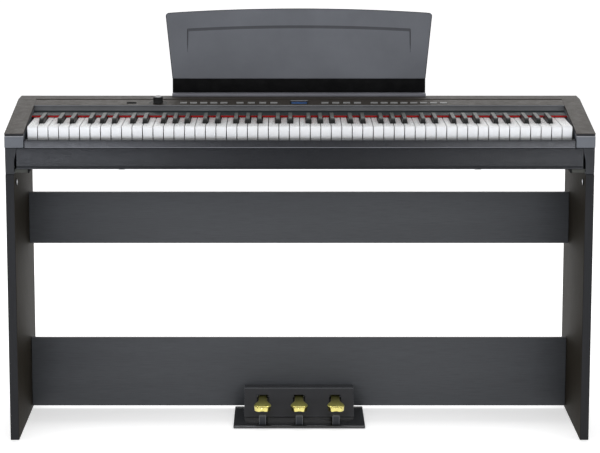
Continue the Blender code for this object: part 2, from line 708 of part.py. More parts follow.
def build_key_slip():
    """Bent strip in front of the keys."""
    top = STAND_HEIGHT + SLIP_RISE
    rear = KEY_FRONT_DEPTH - SLIP_CLEARANCE
    path = [(0, STAND_HEIGHT), (0, top - EDGE_CHAMFER), (EDGE_CHAMFER, top), (rear, top),
            (rear, STAND_HEIGHT + GAP)]
    width = BLOCK_INNER - GAP
    add_part("key_slip", side_plate(shell_profile(path, SLIP_WALL), -width, width), BODY_GREY)


def build_end_block(name, side):
    """Hollow block beside the keys, with a groove under its top plate's front edge."""
    top_front = slope_height(0)
    groove = top_front - GROOVE_DROP
    path = [(0, STAND_HEIGHT), (0, groove - GROOVE_HEIGHT), (GROOVE_DEPTH, groove), (0, groove),
            (0, top_front),
            (CREST_DEPTH, CREST), (BODY_DEPTH, CREST), (BODY_DEPTH, STAND_HEIGHT)]
    inner = [(BLOCK_WALL, STAND_HEIGHT - BLOCK_WALL), (BLOCK_WALL * 1.5, top_front - BLOCK_WALL * 3),
             (CREST_DEPTH, CREST - BLOCK_WALL), (BODY_DEPTH - BLOCK_WALL, CREST - BLOCK_WALL),
             (BODY_DEPTH - BLOCK_WALL, STAND_HEIGHT - BLOCK_WALL)]
    low, high = sorted((side * BLOCK_INNER, side * BODY_HALF_WIDTH))
    solid = side_plate(path, low, high)
    hollow = side_plate(inner, low + BLOCK_WALL, high - BLOCK_WALL)
    add_part(name, combine(bevelled(solid, BLOCK_BEVEL), [hollow], 'DIFFERENCE'), BODY_GREY)


def panel_point(x, along=0.0, out=0.0):
    """World point on the control line, moved up the slope and out of its face."""
    depth = PANEL_FRONT + CONTROL_RUN + along * math.cos(SLOPE) - out * math.sin(SLOPE)
    height = slope_height(PANEL_FRONT + CONTROL_RUN) + along * math.sin(SLOPE) + out * math.cos(SLOPE)
    return Vector((x, y_at(depth), height))


def on_panel(mesh, x):
    """Moves a mesh made about the panel's own axes to its place on the slope."""
    mesh.transform(Matrix.Translation(panel_point(x)) @ Matrix.Rotation(SLOPE, 4, 'X'))
    return mesh


def local_box(width, length, low, high, shift=(0, 0)):
    """A box in the panel's own axes: across, up the slope and out of the face."""
    work = bmesh.new()
    bmesh.ops.create_cube(work, size=1)
    bmesh.ops.scale(work, vec=(width, length, high - low), verts=work.verts)
    bmesh.ops.translate(work, vec=(shift[0], shift[1], (low + high) / 2), verts=work.verts)
    mesh = bpy.data.meshes.new("local_box")
    work.to_mesh(mesh)
    work.free()
    return mesh


def display_length_shift():
    return DISPLAY_LENGTH / 2 - BUTTON_LENGTH * 1.2


def build_control_panel():
    """Shelf, upright face and sloping panel in one bent sheet, cut for its controls."""
    ledge = STAND_HEIGHT + LEDGE_RISE
    rim = slope_height(PANEL_FRONT)
    rear = CREST_DEPTH - GAP
    path = [(LEDGE_FRONT, ledge), (PANEL_FRONT, ledge + LEDGE_SLOPE), (PANEL_FRONT, rim - EDGE_CHAMFER),
            (PANEL_FRONT + EDGE_CHAMFER, slope_height(PANEL_FRONT + EDGE_CHAMFER)),
            (rear, slope_height(rear))]
    width = BLOCK_INNER - GAP
    panel = side_plate(shell_profile(path, COVER_WALL), -width, width)
    reach = COVER_WALL * 3
    holes = [on_panel(local_box(POWER_WIDTH + SLIDING_GAP * 2, BUTTON_LENGTH + SLIDING_GAP * 2,
                                -reach, reach), POWER_X),
             on_panel(local_box(DISPLAY_WIDTH + GAP * 2, DISPLAY_LENGTH + GAP * 2, -reach, reach,
                                (0, display_length_shift())), DISPLAY_X),
             on_panel(rod(KNOB_STEM_RADIUS + SLIDING_GAP, reach * 2, (0, 0, 0), 'Z'), KNOB_X)]
    for _, first, pitch, count in BUTTON_ROWS:
        holes += [on_panel(local_box(BUTTON_WIDTH + SLIDING_GAP * 2, BUTTON_LENGTH + SLIDING_GAP * 2,
                                     -reach, reach), first + pitch * index) for index in range(count)]
    add_part("control_panel", combine(panel, [together(holes)], 'DIFFERENCE'), BODY_GREY)


def build_button_row(name, first, pitch, count):
    """Push buttons on one springy web under the panel."""
    middle = first + pitch * (count - 1) / 2
    under = -COVER_WALL - GAP
    web = local_box(pitch * (count - 1) + BUTTON_WIDTH * 1.2, BUTTON_LENGTH * 1.5,
                    under - BUTTON_WEB, under)
    caps = [local_box(BUTTON_WIDTH, BUTTON_LENGTH, under - BUTTON_WEB / 2, BUTTON_PROUD,
                      (first + pitch * index - middle, 0)) for index in range(count)]
    row = on_panel(combine(web, [together(caps)], 'UNION'), middle)
    add_part(name, row, BUTTON_GREY, panel_point(middle), turn=SLOPE)


def build_controls():
    for row in BUTTON_ROWS:
        build_button_row(*row)
    under = -COVER_WALL - GAP
    web = local_box(POWER_WIDTH * 1.2, BUTTON_LENGTH * 1.5, under - BUTTON_WEB, under)
    cap = local_box(POWER_WIDTH, BUTTON_LENGTH, under - BUTTON_WEB / 2, BUTTON_PROUD)
    power = on_panel(combine(web, [cap], 'UNION'), POWER_X)
    add_part("power_button", power, BUTTON_GREY, panel_point(POWER_X), turn=SLOPE)
    display = local_box(DISPLAY_WIDTH, DISPLAY_LENGTH, -BOARD_DROP + GAP, DISPLAY_PROUD,
                        (0, display_length_shift()))
    add_part("display_module", on_panel(display, DISPLAY_X), GLASS_BLUE)
    build_knob()
    left = POWER_X - POWER_WIDTH
    _, first, pitch, count = BUTTON_ROWS[-1]
    right = first + pitch * count
    board = local_box(right - left, PANEL_RUN * 0.7, -BOARD_DROP - BOARD_THICKNESS, -BOARD_DROP,
                      (0, PANEL_RUN * 0.12))
    add_part("panel_board", on_panel(board, (left + right) / 2), BOARD_GREEN)


def build_knob():
    """Volume knob with its stem down to the panel board."""
    profile = [(0, KNOB_HEIGHT), (KNOB_RADIUS - KNOB_RIM, KNOB_HEIGHT),
               (KNOB_RADIUS, KNOB_HEIGHT - KNOB_RIM), (KNOB_RADIUS, KNOB_LIFT), (KNOB_STEM_RADIUS, KNOB_LIFT),
               (KNOB_STEM_RADIUS, -BOARD_DROP + GAP), (0, -BOARD_DROP + GAP)]
    knob = on_panel(turned(profile, 32), KNOB_X)
    add_part("volume_knob", knob, BUTTON_GREY, panel_point(KNOB_X), turn=SLOPE, smooth=True)


def build_rear_cover():
    """Flat strip and rear wall in one bent sheet, with sockets for the music rest's pegs."""
    path = [(CREST_DEPTH + GAP, CREST), (BODY_DEPTH - EDGE_CHAMFER, CREST),
            (BODY_DEPTH, CREST - EDGE_CHAMFER), (BODY_DEPTH, STAND_HEIGHT + GAP)]
    width = BLOCK_INNER - GAP
    cover = side_plate(shell_profile(path, COVER_WALL), -width, width)
    holes = [rod(PEG_RADIUS + SLIDING_GAP, COVER_WALL * 6, (x, y_at(peg_depth()), CREST), 'Z', 12)
             for x in (-PEG_X, PEG_X)]
    add_part("rear_cover", combine(cover, [together(holes)], 'DIFFERENCE'), BODY_GREY)


# ------------------------------------------------------------------ music rest
def peg_depth():
    return REST_FACE - LIP_RUN / 2


def rest_outline():
    """Front view of the leaning sheet, from its foot up, with an arched top edge."""
    slant = REST_SLANT
    corner_height = slant - REST_ARCH
    right = [(REST_HALF_WIDTH, -REST_BAND / 2), (REST_HALF_WIDTH, 0)]
    for step in range(4):
        angle = math.pi / 2 * step / 3
        right.append((REST_TOP_HALF_WIDTH - REST_CORNER * (1 - math.cos(angle)),
                      corner_height - REST_CORNER * (1 - math.sin(angle))))
    for step in range(1, 7):
        across = math.cos(math.pi / 2 * step / 7)
        right.append(((REST_TOP_HALF_WIDTH - REST_CORNER) * across,
                      slant - REST_ARCH * across ** 2))
    left = [(-x, y) for x, y in reversed(right)]
    return right + [(0, slant)] + left


def build_music_rest():
    """Upright band with a lip and two pegs, and the leaning sheet above it."""
    top = CREST + REST_BAND
    lip_front = REST_FACE - LIP_RUN
    low = CREST + GAP
    foot = [(lip_front, low), (REST_FACE + REST_THICKNESS - GAP, low),
            (REST_FACE + REST_THICKNESS - GAP, top - REST_THICKNESS), (REST_FACE, top),
            (REST_FACE, low + REST_LIP_HEIGHT), (lip_front, low + REST_LIP_HEIGHT)]
    base = side_plate(foot, -REST_HALF_WIDTH + GAP, REST_HALF_WIDTH - GAP)
    outline = [(x, height) for x, height in rest_outline() if height >= 0]
    sheet = plate(outline, REST_THICKNESS)
    sheet.transform(Matrix.Translation((0, 0, -REST_THICKNESS / 2 - GAP / 3)))
    stand_up = Matrix.Rotation(math.pi / 2 - REST_LEAN, 4, 'X')
    sheet.transform(Matrix.Translation((0, y_at(REST_FACE), top - REST_THICKNESS)) @ stand_up)
    pegs = [rod(PEG_RADIUS, PEG_LENGTH, (x, y_at(peg_depth()), low - PEG_LENGTH / 2 + REST_LIP_HEIGHT / 2),
                'Z', 12) for x in (-PEG_X, PEG_X)]
    rest = combine(combine(base, [sheet], 'UNION'), [together(pegs)], 'UNION')
    add_part("music_rest", rest, REST_GREY, (0, y_at(REST_FACE), CREST))
    grip_low = low + REST_LIP_HEIGHT + GAP
    half = REST_HALF_WIDTH - GRIP_SIDE_INSET
    grip = block((-half, half), (REST_FACE - GAP - GRIP_THICKNESS, REST_FACE - GAP),
                 (grip_low, top - GRIP_TOP_INSET))
    add_part("music_rest_grip", grip, GRIP_BLACK, (0, y_at(REST_FACE), CREST))


# ------------------------------------------------------------------ inside the body
def build_inside():
    """Main board on four posts over the case floor, and the contact board under the keys."""
    floor = CASE_BOTTOM + CASE_WALL
    left, right = MAIN_BOARD_SPAN
    front = PANEL_FRONT + MAIN_BOARD_FRONT
    rear = BODY_DEPTH - MAIN_BOARD_REAR
    low = floor + STANDOFF_HEIGHT
    high = low + BOARD_THICKNESS
    main = block((left, right), (front, rear), (low, high))
    middle = (left + right) / 2
    chips = [block((x - CHIP_WIDTH / 2, x + CHIP_WIDTH / 2),
                   (front + STANDOFF_WIDTH * 2, front + STANDOFF_WIDTH * 2 + CHIP_LENGTH),
                   (low + BOARD_THICKNESS / 2, high + CHIP_HEIGHT))
             for x in (middle - CHIP_PITCH / 2, middle + CHIP_PITCH / 2)]
    post = STANDOFF_INSET + STANDOFF_WIDTH
    posts = [block((x, x + STANDOFF_WIDTH), (depth, depth + STANDOFF_WIDTH),
                   (floor + GAP, low + BOARD_THICKNESS / 2))
             for x in (left + STANDOFF_INSET, right - post)
             for depth in (front + STANDOFF_INSET, rear - post)]
    add_part("main_board", combine(main, [together(chips + posts)], 'UNION'), BOARD_GREEN)
    contact_low = STAND_HEIGHT + GAP * 2 + FRAME_PLATE
    contact_front = KEY_FRONT_DEPTH + CONTACT_BEHIND_FRONT
    half = KEYS_WIDTH / 2 - CONTACT_END
    contacts = block((-half, half), (contact_front, contact_front + CONTACT_RUN),
                     (contact_low, contact_low + BOARD_THICKNESS))
    add_part("contact_board", contacts, BOARD_GREEN)


def build_speaker(name, x):
    """Round speaker with its cone facing down over the grille."""
    floor = CASE_BOTTOM + CASE_WALL + GAP
    radius = SPEAKER_RADIUS
    magnet = radius * 0.42
    profile = [(0, SPEAKER_HEIGHT), (magnet, SPEAKER_HEIGHT), (magnet, SPEAKER_HEIGHT - MAGNET_HEIGHT),
               (radius * 0.9, BASKET_RIM), (radius, BASKET_RIM), (radius, 0), (radius * 0.88, 0),
               (radius * 0.36, CONE_RISE), (0, CONE_DOME)]
    speaker = turned(profile, 24)
    speaker.transform(Matrix.Translation((x, y_at(SPEAKER_DEPTH), floor)))
    add_part(name, speaker, CONE_BLACK, smooth=True)


# ------------------------------------------------------------------ stand
def build_side(prefix, side):
    """Side panel, the support on top of it and the bolt that joins them."""
    outer = side * STAND_HALF_WIDTH
    inner = side * SIDE_PANEL_INNER
    low, high = sorted((outer, inner))
    panel = bevelled(block((low, high), (GAP, PANEL_LENGTH), (0, SIDE_PANEL_HEIGHT)), BOARD_BEVEL)
    bolt_height = SIDE_PANEL_HEIGHT - BOLT_DROP
    bolt_y = y_at(BOLT_DEPTH)
    bore_length = BOLT_LENGTH + GAP
    bore = rod(BOLT_SHANK_RADIUS + GAP, bore_length * 2, (inner, bolt_y, bolt_height), 'X', 12)
    add_part(prefix + "_side_panel", combine(panel, [bore], 'DIFFERENCE'), BOARD_BLACK)
    shank = rod(BOLT_SHANK_RADIUS, BOLT_LENGTH + BOLT_HEAD / 2,
                (inner + side * (BOLT_LENGTH - BOLT_HEAD / 2) / 2, bolt_y, bolt_height), 'X', 12)
    head = rod(BOLT_RADIUS, BOLT_HEAD, (inner - side * (BOLT_HEAD / 2 + GAP), bolt_y, bolt_height), 'X', 16)
    add_part(prefix + "_panel_bolt", combine(head, [shank], 'UNION'), STEEL,
             (inner, bolt_y, bolt_height))
    build_support(prefix, side)


def build_support(prefix, side):
    """Block that widens upwards from the side panel to the body, with a flange inside."""
    low = SIDE_PANEL_HEIGHT + GAP
    high = low + SUPPORT_HEIGHT
    outer = side * STAND_HALF_WIDTH
    waist = side * SIDE_PANEL_INNER
    inner = side * SUPPORT_INNER
    waist_height = high - CASE_HEIGHT - GAP * 2
    outline = [(waist, low), (outer, low), (outer, high), (inner, high), (inner, waist_height),
               (waist, waist_height)]
    cheek = front_plate(outline, y_at(GAP), y_at(BODY_DEPTH - GAP))
    flange_high = CASE_BOTTOM - GAP
    flange_span = sorted((side * (SUPPORT_INNER - FLANGE_REACH), waist + side * GAP * 3))
    flange = block(flange_span, (FLANGE_INSET, BODY_DEPTH - FLANGE_INSET),
                   (flange_high - FLANGE_THICKNESS, flange_high))
    add_part(prefix + "_support", combine(cheek, [flange], 'UNION'), BOARD_BLACK)


def build_crossbars():
    case_gap = CASE_BOTTOM - UPPER_BAR_DROP
    span = (-BAR_HALF_WIDTH, BAR_HALF_WIDTH)
    depth = (BAR_FACE_DEPTH, BAR_FACE_DEPTH + BAR_THICKNESS)
    upper = block(span, depth, (case_gap - UPPER_BAR_HEIGHT, case_gap))
    lower = block(span, depth, (LOWER_BAR_CLEARANCE, LOWER_BAR_CLEARANCE + LOWER_BAR_HEIGHT))
    add_part("upper_crossbar", bevelled(upper, BOARD_BEVEL), BOARD_BLACK)
    add_part("lower_crossbar", bevelled(lower, BOARD_BEVEL), BOARD_BLACK)


# ------------------------------------------------------------------ pedals
def pedal_centres():
    return (("left", -PEDAL_PITCH), ("middle", 0.0), ("right", PEDAL_PITCH))


def pad_outline(x):
    """Top view of a pedal: a narrow arm that swells into a round-ended pad."""
    rear = AXLE_DEPTH + HUB_RADIUS * 0.5
    neck = TIP_DEPTH + PEDAL_NECK
    shoulder = TIP_DEPTH + PEDAL_SHOULDER
    right = [(ARM_HALF_WIDTH, rear)]
    for step in range(7):
        blend = step / 6
        smooth = blend * blend * (3 - 2 * blend)
        right.append((ARM_HALF_WIDTH + (PAD_HALF_WIDTH - ARM_HALF_WIDTH) * smooth,
                      neck + (shoulder - neck) * blend))
    for step in range(1, 5):
        angle = math.pi / 2 * step / 5
        right.append((PAD_HALF_WIDTH * math.cos(angle) ** 0.6,
                      TIP_DEPTH + (shoulder - TIP_DEPTH) * (1 - math.sin(angle) ** 0.9)))
    left = [(-half, depth) for half, depth in reversed(right)]
    return [(x + half, depth) for half, depth in right + [(0, TIP_DEPTH)] + left]


def arm_tilt(mesh):
    """Raises the arm evenly from the axle to the tip."""
    for vertex in mesh.vertices:
        reach = y_at(AXLE_DEPTH) - vertex.co.y
        vertex.co.z += (TIP_RISE - ARM_RISE) * max(reach, 0) / PEDAL_REACH
    return mesh


def build_pedal(name, x):
    top = AXLE_HEIGHT + ARM_RISE
    outline = pad_outline(x)
    cast = top_plate(outline, top - LIP_HEIGHT, top)
    under = block((x - PAD_HALF_WIDTH * 2, x + PAD_HALF_WIDTH * 2),
                  (TIP_DEPTH + LIP_DEPTH, BAR_FACE_DEPTH), (0, top - ARM_THICKNESS))
    pedal = arm_tilt(combine(cast, [under], 'DIFFERENCE'))
    axle = (x, y_at(AXLE_DEPTH), AXLE_HEIGHT)
    width = (ARM_HALF_WIDTH - GAP) * 2
    hub = rod(HUB_RADIUS, width, axle, 'X', 16)
    pedal = combine(pedal, [hub], 'UNION')
    pedal = combine(pedal, [rod(AXLE_RADIUS + AXLE_PLAY, width * 2, axle, 'X', 16)], 'DIFFERENCE')
    add_part(name + "_pedal", pedal, BRASS, axle, smooth=True)


def build_pedal_spring(name, x):
    """Coil spring between the base and the arm."""
    depth = AXLE_DEPTH - SPRING_IN_FRONT
    low = PEDAL_BASE_HEIGHT + GAP + SPRING_WIRE
    lift = (TIP_RISE - ARM_RISE) * (SPRING_IN_FRONT - SPRING_RADIUS) / PEDAL_REACH
    high = AXLE_HEIGHT + ARM_RISE - ARM_THICKNESS + lift - GAP - SPRING_WIRE * 1.2
    per_turn = 10
    count = SPRING_TURNS * per_turn + 1
    curve = bpy.data.curves.new("coil", 'CURVE')
    curve.dimensions = '3D'
    curve.bevel_depth = SPRING_WIRE
    curve.bevel_resolution = 1
    curve.use_fill_caps = True
    spline = curve.splines.new('POLY')
    spline.points.add(count - 1)
    for index, point in enumerate(spline.points):
        angle = 2 * math.pi * index / per_turn
        height = low + (high - low) * index / (count - 1)
        point.co = (x + SPRING_RADIUS * math.cos(angle),
                    y_at(depth) + SPRING_RADIUS * math.sin(angle), height, 1.0)
    add_part(name + "_pedal_spring", tidy(evaluated_mesh(curve)), STEEL,
             (x, y_at(depth), PEDAL_BASE_HEIGHT), smooth=True)


def post_spans(x, play):
    front = TIP_DEPTH + POST_BEHIND_TIP
    return ((x - POST_WIDTH / 2 - play, x + POST_WIDTH / 2 + play),
            (front - play, front + POST_DEPTH + play))


def build_pedal_base():
    """Base plate with lugs for the axle, and the stop rail that stands up through it."""
    half = PEDAL_BASE_WIDTH / 2
    base = block((-half, half), (TIP_DEPTH - PEDAL_BASE_FRONT, PEDAL_REAR), (0, PEDAL_BASE_HEIGHT))
    lugs = []
    lug_x = COVER_WIDTH / 2 - COVER_SHELL - LUG_INSET
    for x in (-lug_x, -PEDAL_PITCH / 2, PEDAL_PITCH / 2, lug_x):
        lugs.append(block((x - LUG_THICKNESS / 2, x + LUG_THICKNESS / 2),
                          (AXLE_DEPTH - LUG_RUN / 2, AXLE_DEPTH + LUG_RUN / 2),
                          (PEDAL_BASE_HEIGHT / 2, AXLE_HEIGHT + LUG_ABOVE_AXLE)))
    base = combine(base, [together(lugs)], 'UNION')
    axle = (0, y_at(AXLE_DEPTH), AXLE_HEIGHT)
    holes = [rod(AXLE_RADIUS + GAP, COVER_WIDTH, axle, 'X', 16)]
    rail = rail_spans(GAP)
    holes.append(block(*rail, (-STOP_RAIL_HEIGHT, STOP_RAIL_HEIGHT + GAP * 3)))
    base = combine(base, [together(holes)], 'DIFFERENCE')
    openings = [block(*post_spans(x, GAP), (STOP_RAIL_HEIGHT / 2, PEDAL_BASE_HEIGHT * 2))
                for _, x in pedal_centres()]
    add_part("pedal_base", combine(base, [together(openings)], 'DIFFERENCE'), PEDAL_BLACK)
    strip = block(*rail_spans(0), (GAP * 2, GAP * 2 + STOP_RAIL_HEIGHT))
    posts = [block(*post_spans(x, 0), (STOP_RAIL_HEIGHT / 2, POST_HEIGHT)) for _, x in pedal_centres()]
    add_part("pedal_stop_rail", combine(strip, [together(posts)], 'UNION'), RUBBER_GREY)
    length = lug_x * 2 + LUG_THICKNESS
    add_part("pedal_axle", rod(AXLE_RADIUS, length, axle, 'X', 16), STEEL, axle, smooth=True)


def rail_spans(play):
    front = TIP_DEPTH + POST_BEHIND_TIP
    reach = PEDAL_PITCH + POST_WIDTH / 2 + STOP_RAIL_END
    margin = STOP_RAIL_MARGIN + play
    return (-reach - play, reach + play), (front - margin, front + POST_DEPTH + margin)


def build_pedal_cover():
    """Cover over the pedal works, with a sloping front and a slot for each arm."""
    low = PEDAL_BASE_HEIGHT + GAP
    rear = PEDAL_REAR
    foot = BAR_FACE_DEPTH - COVER_RUN
    crown = BAR_FACE_DEPTH - COVER_TOP_RUN
    half = COVER_WIDTH / 2
    solid = side_plate([(foot, low), (rear, low), (rear, COVER_TOP), (crown, COVER_TOP)], -half, half)
    pitch = math.atan2(COVER_TOP - low, crown - foot)
    shift = COVER_SHELL / math.sin(pitch)
    inside = half - COVER_SHELL
    hollow = side_plate([(foot + shift, low - COVER_SHELL), (rear - COVER_SHELL, low - COVER_SHELL),
                         (rear - COVER_SHELL, COVER_TOP - COVER_SHELL),
                         (crown + shift * HOLLOW_CORNER, COVER_TOP - COVER_SHELL),
                         (foot + shift, low + GAP)], -inside, inside)
    cover = combine(solid, [hollow], 'DIFFERENCE')
    slot_half = ARM_HALF_WIDTH + SLOT_PLAY
    slot_low = AXLE_HEIGHT + ARM_RISE - ARM_THICKNESS - SLOT_BELOW
    slot_high = AXLE_HEIGHT + ARM_RISE + SLOT_ABOVE
    slots = [block((x - slot_half, x + slot_half), (foot, crown), (slot_low, slot_high))
             for _, x in pedal_centres()]
    add_part("pedal_cover", combine(cover, [together(slots)], 'DIFFERENCE'), PEDAL_BLACK)


def build_pedal_unit():
    build_pedal_base()
    build_pedal_cover()
    for name, x in pedal_centres():
        build_pedal(name, x)
        build_pedal_spring(name, x)


def main():
    build_side("left", -1)
    build_side("right", 1)
    build_crossbars()
    build_pedal_unit()
    build_bottom_case()
    build_rear_jacks()
    build_inside()
    build_speaker("left_speaker", -SPEAKER_X)
    build_speaker("right_speaker", SPEAKER_X)
    build_key_frame()
    build_keys()
    build_key_slip()
    build_end_block("left_end_block", -1)
    build_end_block("right_end_block", 1)
    build_felt()
    build_control_panel()
    build_controls()
    build_rear_cover()
    build_music_rest()


main()
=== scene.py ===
"""Looks of the digital piano on its stand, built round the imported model.

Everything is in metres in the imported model's frame: +X to the player's right, +Y to the
rear, +Z up.  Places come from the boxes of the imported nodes; the named sizes below are only
those of surface detail and of the keyboard's own layout.
"""
import math

import bmesh
import bpy
from mathutils import Matrix, Vector


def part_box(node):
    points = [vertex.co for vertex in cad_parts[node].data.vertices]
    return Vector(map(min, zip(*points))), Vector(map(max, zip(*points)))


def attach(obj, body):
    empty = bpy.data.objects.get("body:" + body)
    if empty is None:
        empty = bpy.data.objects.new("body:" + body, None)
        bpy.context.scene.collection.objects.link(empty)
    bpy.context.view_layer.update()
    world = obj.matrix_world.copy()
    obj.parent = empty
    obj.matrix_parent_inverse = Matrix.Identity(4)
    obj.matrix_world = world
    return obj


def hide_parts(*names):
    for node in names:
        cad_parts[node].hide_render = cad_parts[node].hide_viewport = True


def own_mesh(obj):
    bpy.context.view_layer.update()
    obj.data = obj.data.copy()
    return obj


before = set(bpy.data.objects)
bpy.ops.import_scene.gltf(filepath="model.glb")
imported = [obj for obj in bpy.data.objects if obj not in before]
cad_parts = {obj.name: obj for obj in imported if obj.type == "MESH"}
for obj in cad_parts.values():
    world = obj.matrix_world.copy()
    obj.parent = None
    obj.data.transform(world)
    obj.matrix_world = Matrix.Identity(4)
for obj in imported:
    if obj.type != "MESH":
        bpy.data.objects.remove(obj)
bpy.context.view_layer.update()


def low(node):
    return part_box(node)[0]


def high(node):
    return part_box(node)[1]


def centre_of(node, axis):
    """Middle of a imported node's box along x, y or z."""
    return (getattr(low(node), axis) + getattr(high(node), axis)) / 2


# ------------------------------------------------------------------ places from the frame
FRONT = low("left_end_block").y
REAR = high("left_end_block").y
STAND_TOP = low("left_end_block").z
CREST = high("left_end_block").z
CREST_Y = low("rear_cover").y
BLOCK_INNER = low("right_end_block").x
BODY_SIDE = high("right_end_block").x
FRONT_RISE = 0.0327             # top of the end blocks at the front, above the stand
SLOPE = math.atan2(CREST - STAND_TOP - FRONT_RISE, CREST_Y - FRONT)
PANEL_FRONT = FRONT + 0.228     # front edge of the sloping control panel
CONTROL_RUN = 0.018             # control line behind that edge
LEDGE_RISE = 0.003              # shelf's rise from the felt to the upright face

WHITE_GAP = 0.0010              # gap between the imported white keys
SHOWN_GAP = 0.0017              # and between the finished ones
BLACK_GAP = 0.0010
HEAD_LENGTH = 0.050
BLACK_WIDTH = 0.0114
BLACK_TOP_WIDTH = 0.0092
BLACK_SLANT = 0.005
KEY_FRONT = low("key_c4").y
KEY_TOP = high("key_c4").z
KEY_BASE = low("key_c4").z
BLACK_FRONT = low("key_c_sharp4").y
BLACK_TOP = high("key_c_sharp4").z
BLACK_BASE = BLACK_TOP - 0.024
FELT_FACE = low("key_felt").y
WHITE_REAR = FELT_FACE + 0.011
BLACK_REAR = FELT_FACE - 0.0012
KEYS_LEFT = low("bass_white_keys_a").x - WHITE_GAP / 2
KEYS_RIGHT = high("treble_white_keys_b").x + WHITE_GAP / 2
NOTES = range(21, 109)
WHITE_NOTES = [n for n in NOTES if n % 12 in (0, 2, 4, 5, 7, 9, 11)]
BLACK_NOTES = [n for n in NOTES if n not in WHITE_NOTES]
WHITE_PITCH = (KEYS_RIGHT - KEYS_LEFT) / len(WHITE_NOTES)
SINGLE_NOTES = range(60, 72)
STEP_NAMES = ("c", "c_sharp", "d", "d_sharp", "e", "f", "f_sharp", "g", "g_sharp", "a", "a_sharp", "b")


def slope_z(y):
    """Height of the body's sloping top at a place from front to rear."""
    return STAND_TOP + FRONT_RISE + (y - FRONT) * math.tan(SLOPE)


# ------------------------------------------------------------------ camera, stage and light
LENS = 135.0
CAMERA_PLACE = (-0.0348, -5.158, 1.4145)
CAMERA_PITCH = 9.13             # degrees downwards
CAMERA_SHIFT = (0.0262, -0.09)
SKY_STRENGTH = 0.62
FLOOR_DROP = 0.0005             # floor below the object's feet


def add_camera():
    data = bpy.data.cameras.new("camera")
    data.sensor_width = 36.0
    data.lens = LENS
    data.shift_x, data.shift_y = CAMERA_SHIFT
    data.clip_end = 100.0
    camera = bpy.data.objects.new("camera", data)
    camera.location = CAMERA_PLACE
    camera.rotation_euler = (math.radians(90 - CAMERA_PITCH), 0.0, 0.0)
    bpy.context.scene.collection.objects.link(camera)
    bpy.context.scene.camera = camera


def add_stage():
    """A pale floor that runs far enough back to fill the picture."""
    work = bmesh.new()
    bmesh.ops.create_grid(work, x_segments=4, y_segments=4, size=60)
    bmesh.ops.translate(work, vec=(0, 0, -FLOOR_DROP), verts=work.verts)
    mesh = bpy.data.meshes.new("floor")
    work.to_mesh(mesh)
    work.free()
    floor = bpy.data.objects.new("floor", mesh)
    bpy.context.scene.collection.objects.link(floor)
    look = bpy.data.materials.new("floor_white")
    look.use_nodes = True
    shader = look.node_tree.nodes["Principled BSDF"]
    shader.inputs["Base Color"].default_value = (0.86, 0.86, 0.86, 1)
    shader.inputs["Roughness"].default_value = 0.9
    shader.inputs["Specular IOR Level"].default_value = 0.1
    shader.inputs["Emission Color"].default_value = (1, 1, 1, 1)
    shader.inputs["Emission Strength"].default_value = 0.55
    mesh.materials.append(look)


def add_lamp(name, place, target, size, power, colour=(1, 1, 1)):
    data = bpy.data.lights.new(name, 'AREA')
    data.shape = 'RECTANGLE'
    data.size, data.size_y = size
    data.energy = power
    data.color = colour
    lamp = bpy.data.objects.new(name, data)
    lamp.location = place
    lamp.rotation_euler = (Vector(target) - Vector(place)).to_track_quat('-Z', 'Y').to_euler()
    lamp.visible_camera = False
    bpy.context.scene.collection.objects.link(lamp)


def add_light():
    world = bpy.data.worlds.new("studio")
    world.use_nodes = True
    tree = world.node_tree
    sky = tree.nodes["Background"]
    sky.inputs["Strength"].default_value = SKY_STRENGTH
    sky.inputs["Color"].default_value = (1.0, 1.0, 1.0, 1)
    backdrop = tree.nodes.new("ShaderNodeBackground")
    backdrop.inputs["Color"].default_value = (1.0, 1.0, 1.0, 1)
    seen = tree.nodes.new("ShaderNodeLightPath")
    blend = tree.nodes.new("ShaderNodeMixShader")
    tree.links.new(seen.outputs["Is Camera Ray"], blend.inputs["Fac"])
    tree.links.new(sky.outputs["Background"], blend.inputs[1])
    tree.links.new(backdrop.outputs["Background"], blend.inputs[2])
    tree.links.new(blend.outputs["Shader"], tree.nodes["World Output"].inputs["Surface"])
    bpy.context.scene.world = world
    bpy.context.scene.view_settings.view_transform = 'Standard'
    add_lamp("overhead", (0.0, 2.5, 3.0), (0, 0.0, 0.7), (4.0, 1.4), 66)
    add_lamp("left", (-3.6, -2.6, 1.8), (-0.4, 0, 0.6), (1.4, 2.2), 10)
    add_lamp("right", (3.6, -2.6, 1.8), (0.4, 0, 0.6), (1.4, 2.2), 6)
    add_lamp("left_strip", (-1.00, -3.2, 0.32), (-1.00, 0, 0.32), (0.90, 0.60), 16.5, (0.86, 0.90, 1.0))
    add_lamp("right_strip", (1.10, -3.2, 0.32), (1.10, 0, 0.32), (0.90, 0.60), 14.5, (0.90, 0.93, 1.0))


# ------------------------------------------------------------------ material helpers
def start_look(name, roughness, metallic=0.0, specular=0.5, coat=0.0, sheen=0.0):
    """A material, its node tree and its shader, with what is the same all over set on it."""
    look = bpy.data.materials.new(name)
    look.use_nodes = True
    tree = look.node_tree
    shader = tree.nodes["Principled BSDF"]
    shader.inputs["Roughness"].default_value = roughness
    shader.inputs["Metallic"].default_value = metallic
    shader.inputs["Specular IOR Level"].default_value = specular
    shader.inputs["Coat Weight"].default_value = coat
    shader.inputs["Coat Roughness"].default_value = 0.06
    shader.inputs["Sheen Weight"].default_value = sheen
    return look, tree, shader


def place_in(tree, stretch=(1, 1, 1), turn=(0, 0, 0)):
    """The piece's own coordinates, stretched."""
    source = tree.nodes.new("ShaderNodeTexCoord")
    mapping = tree.nodes.new("ShaderNodeMapping")
    mapping.inputs["Scale"].default_value = stretch
    mapping.inputs["Rotation"].default_value = turn
    tree.links.new(source.outputs["Object"], mapping.inputs["Vector"])
    return mapping.outputs["Vector"]


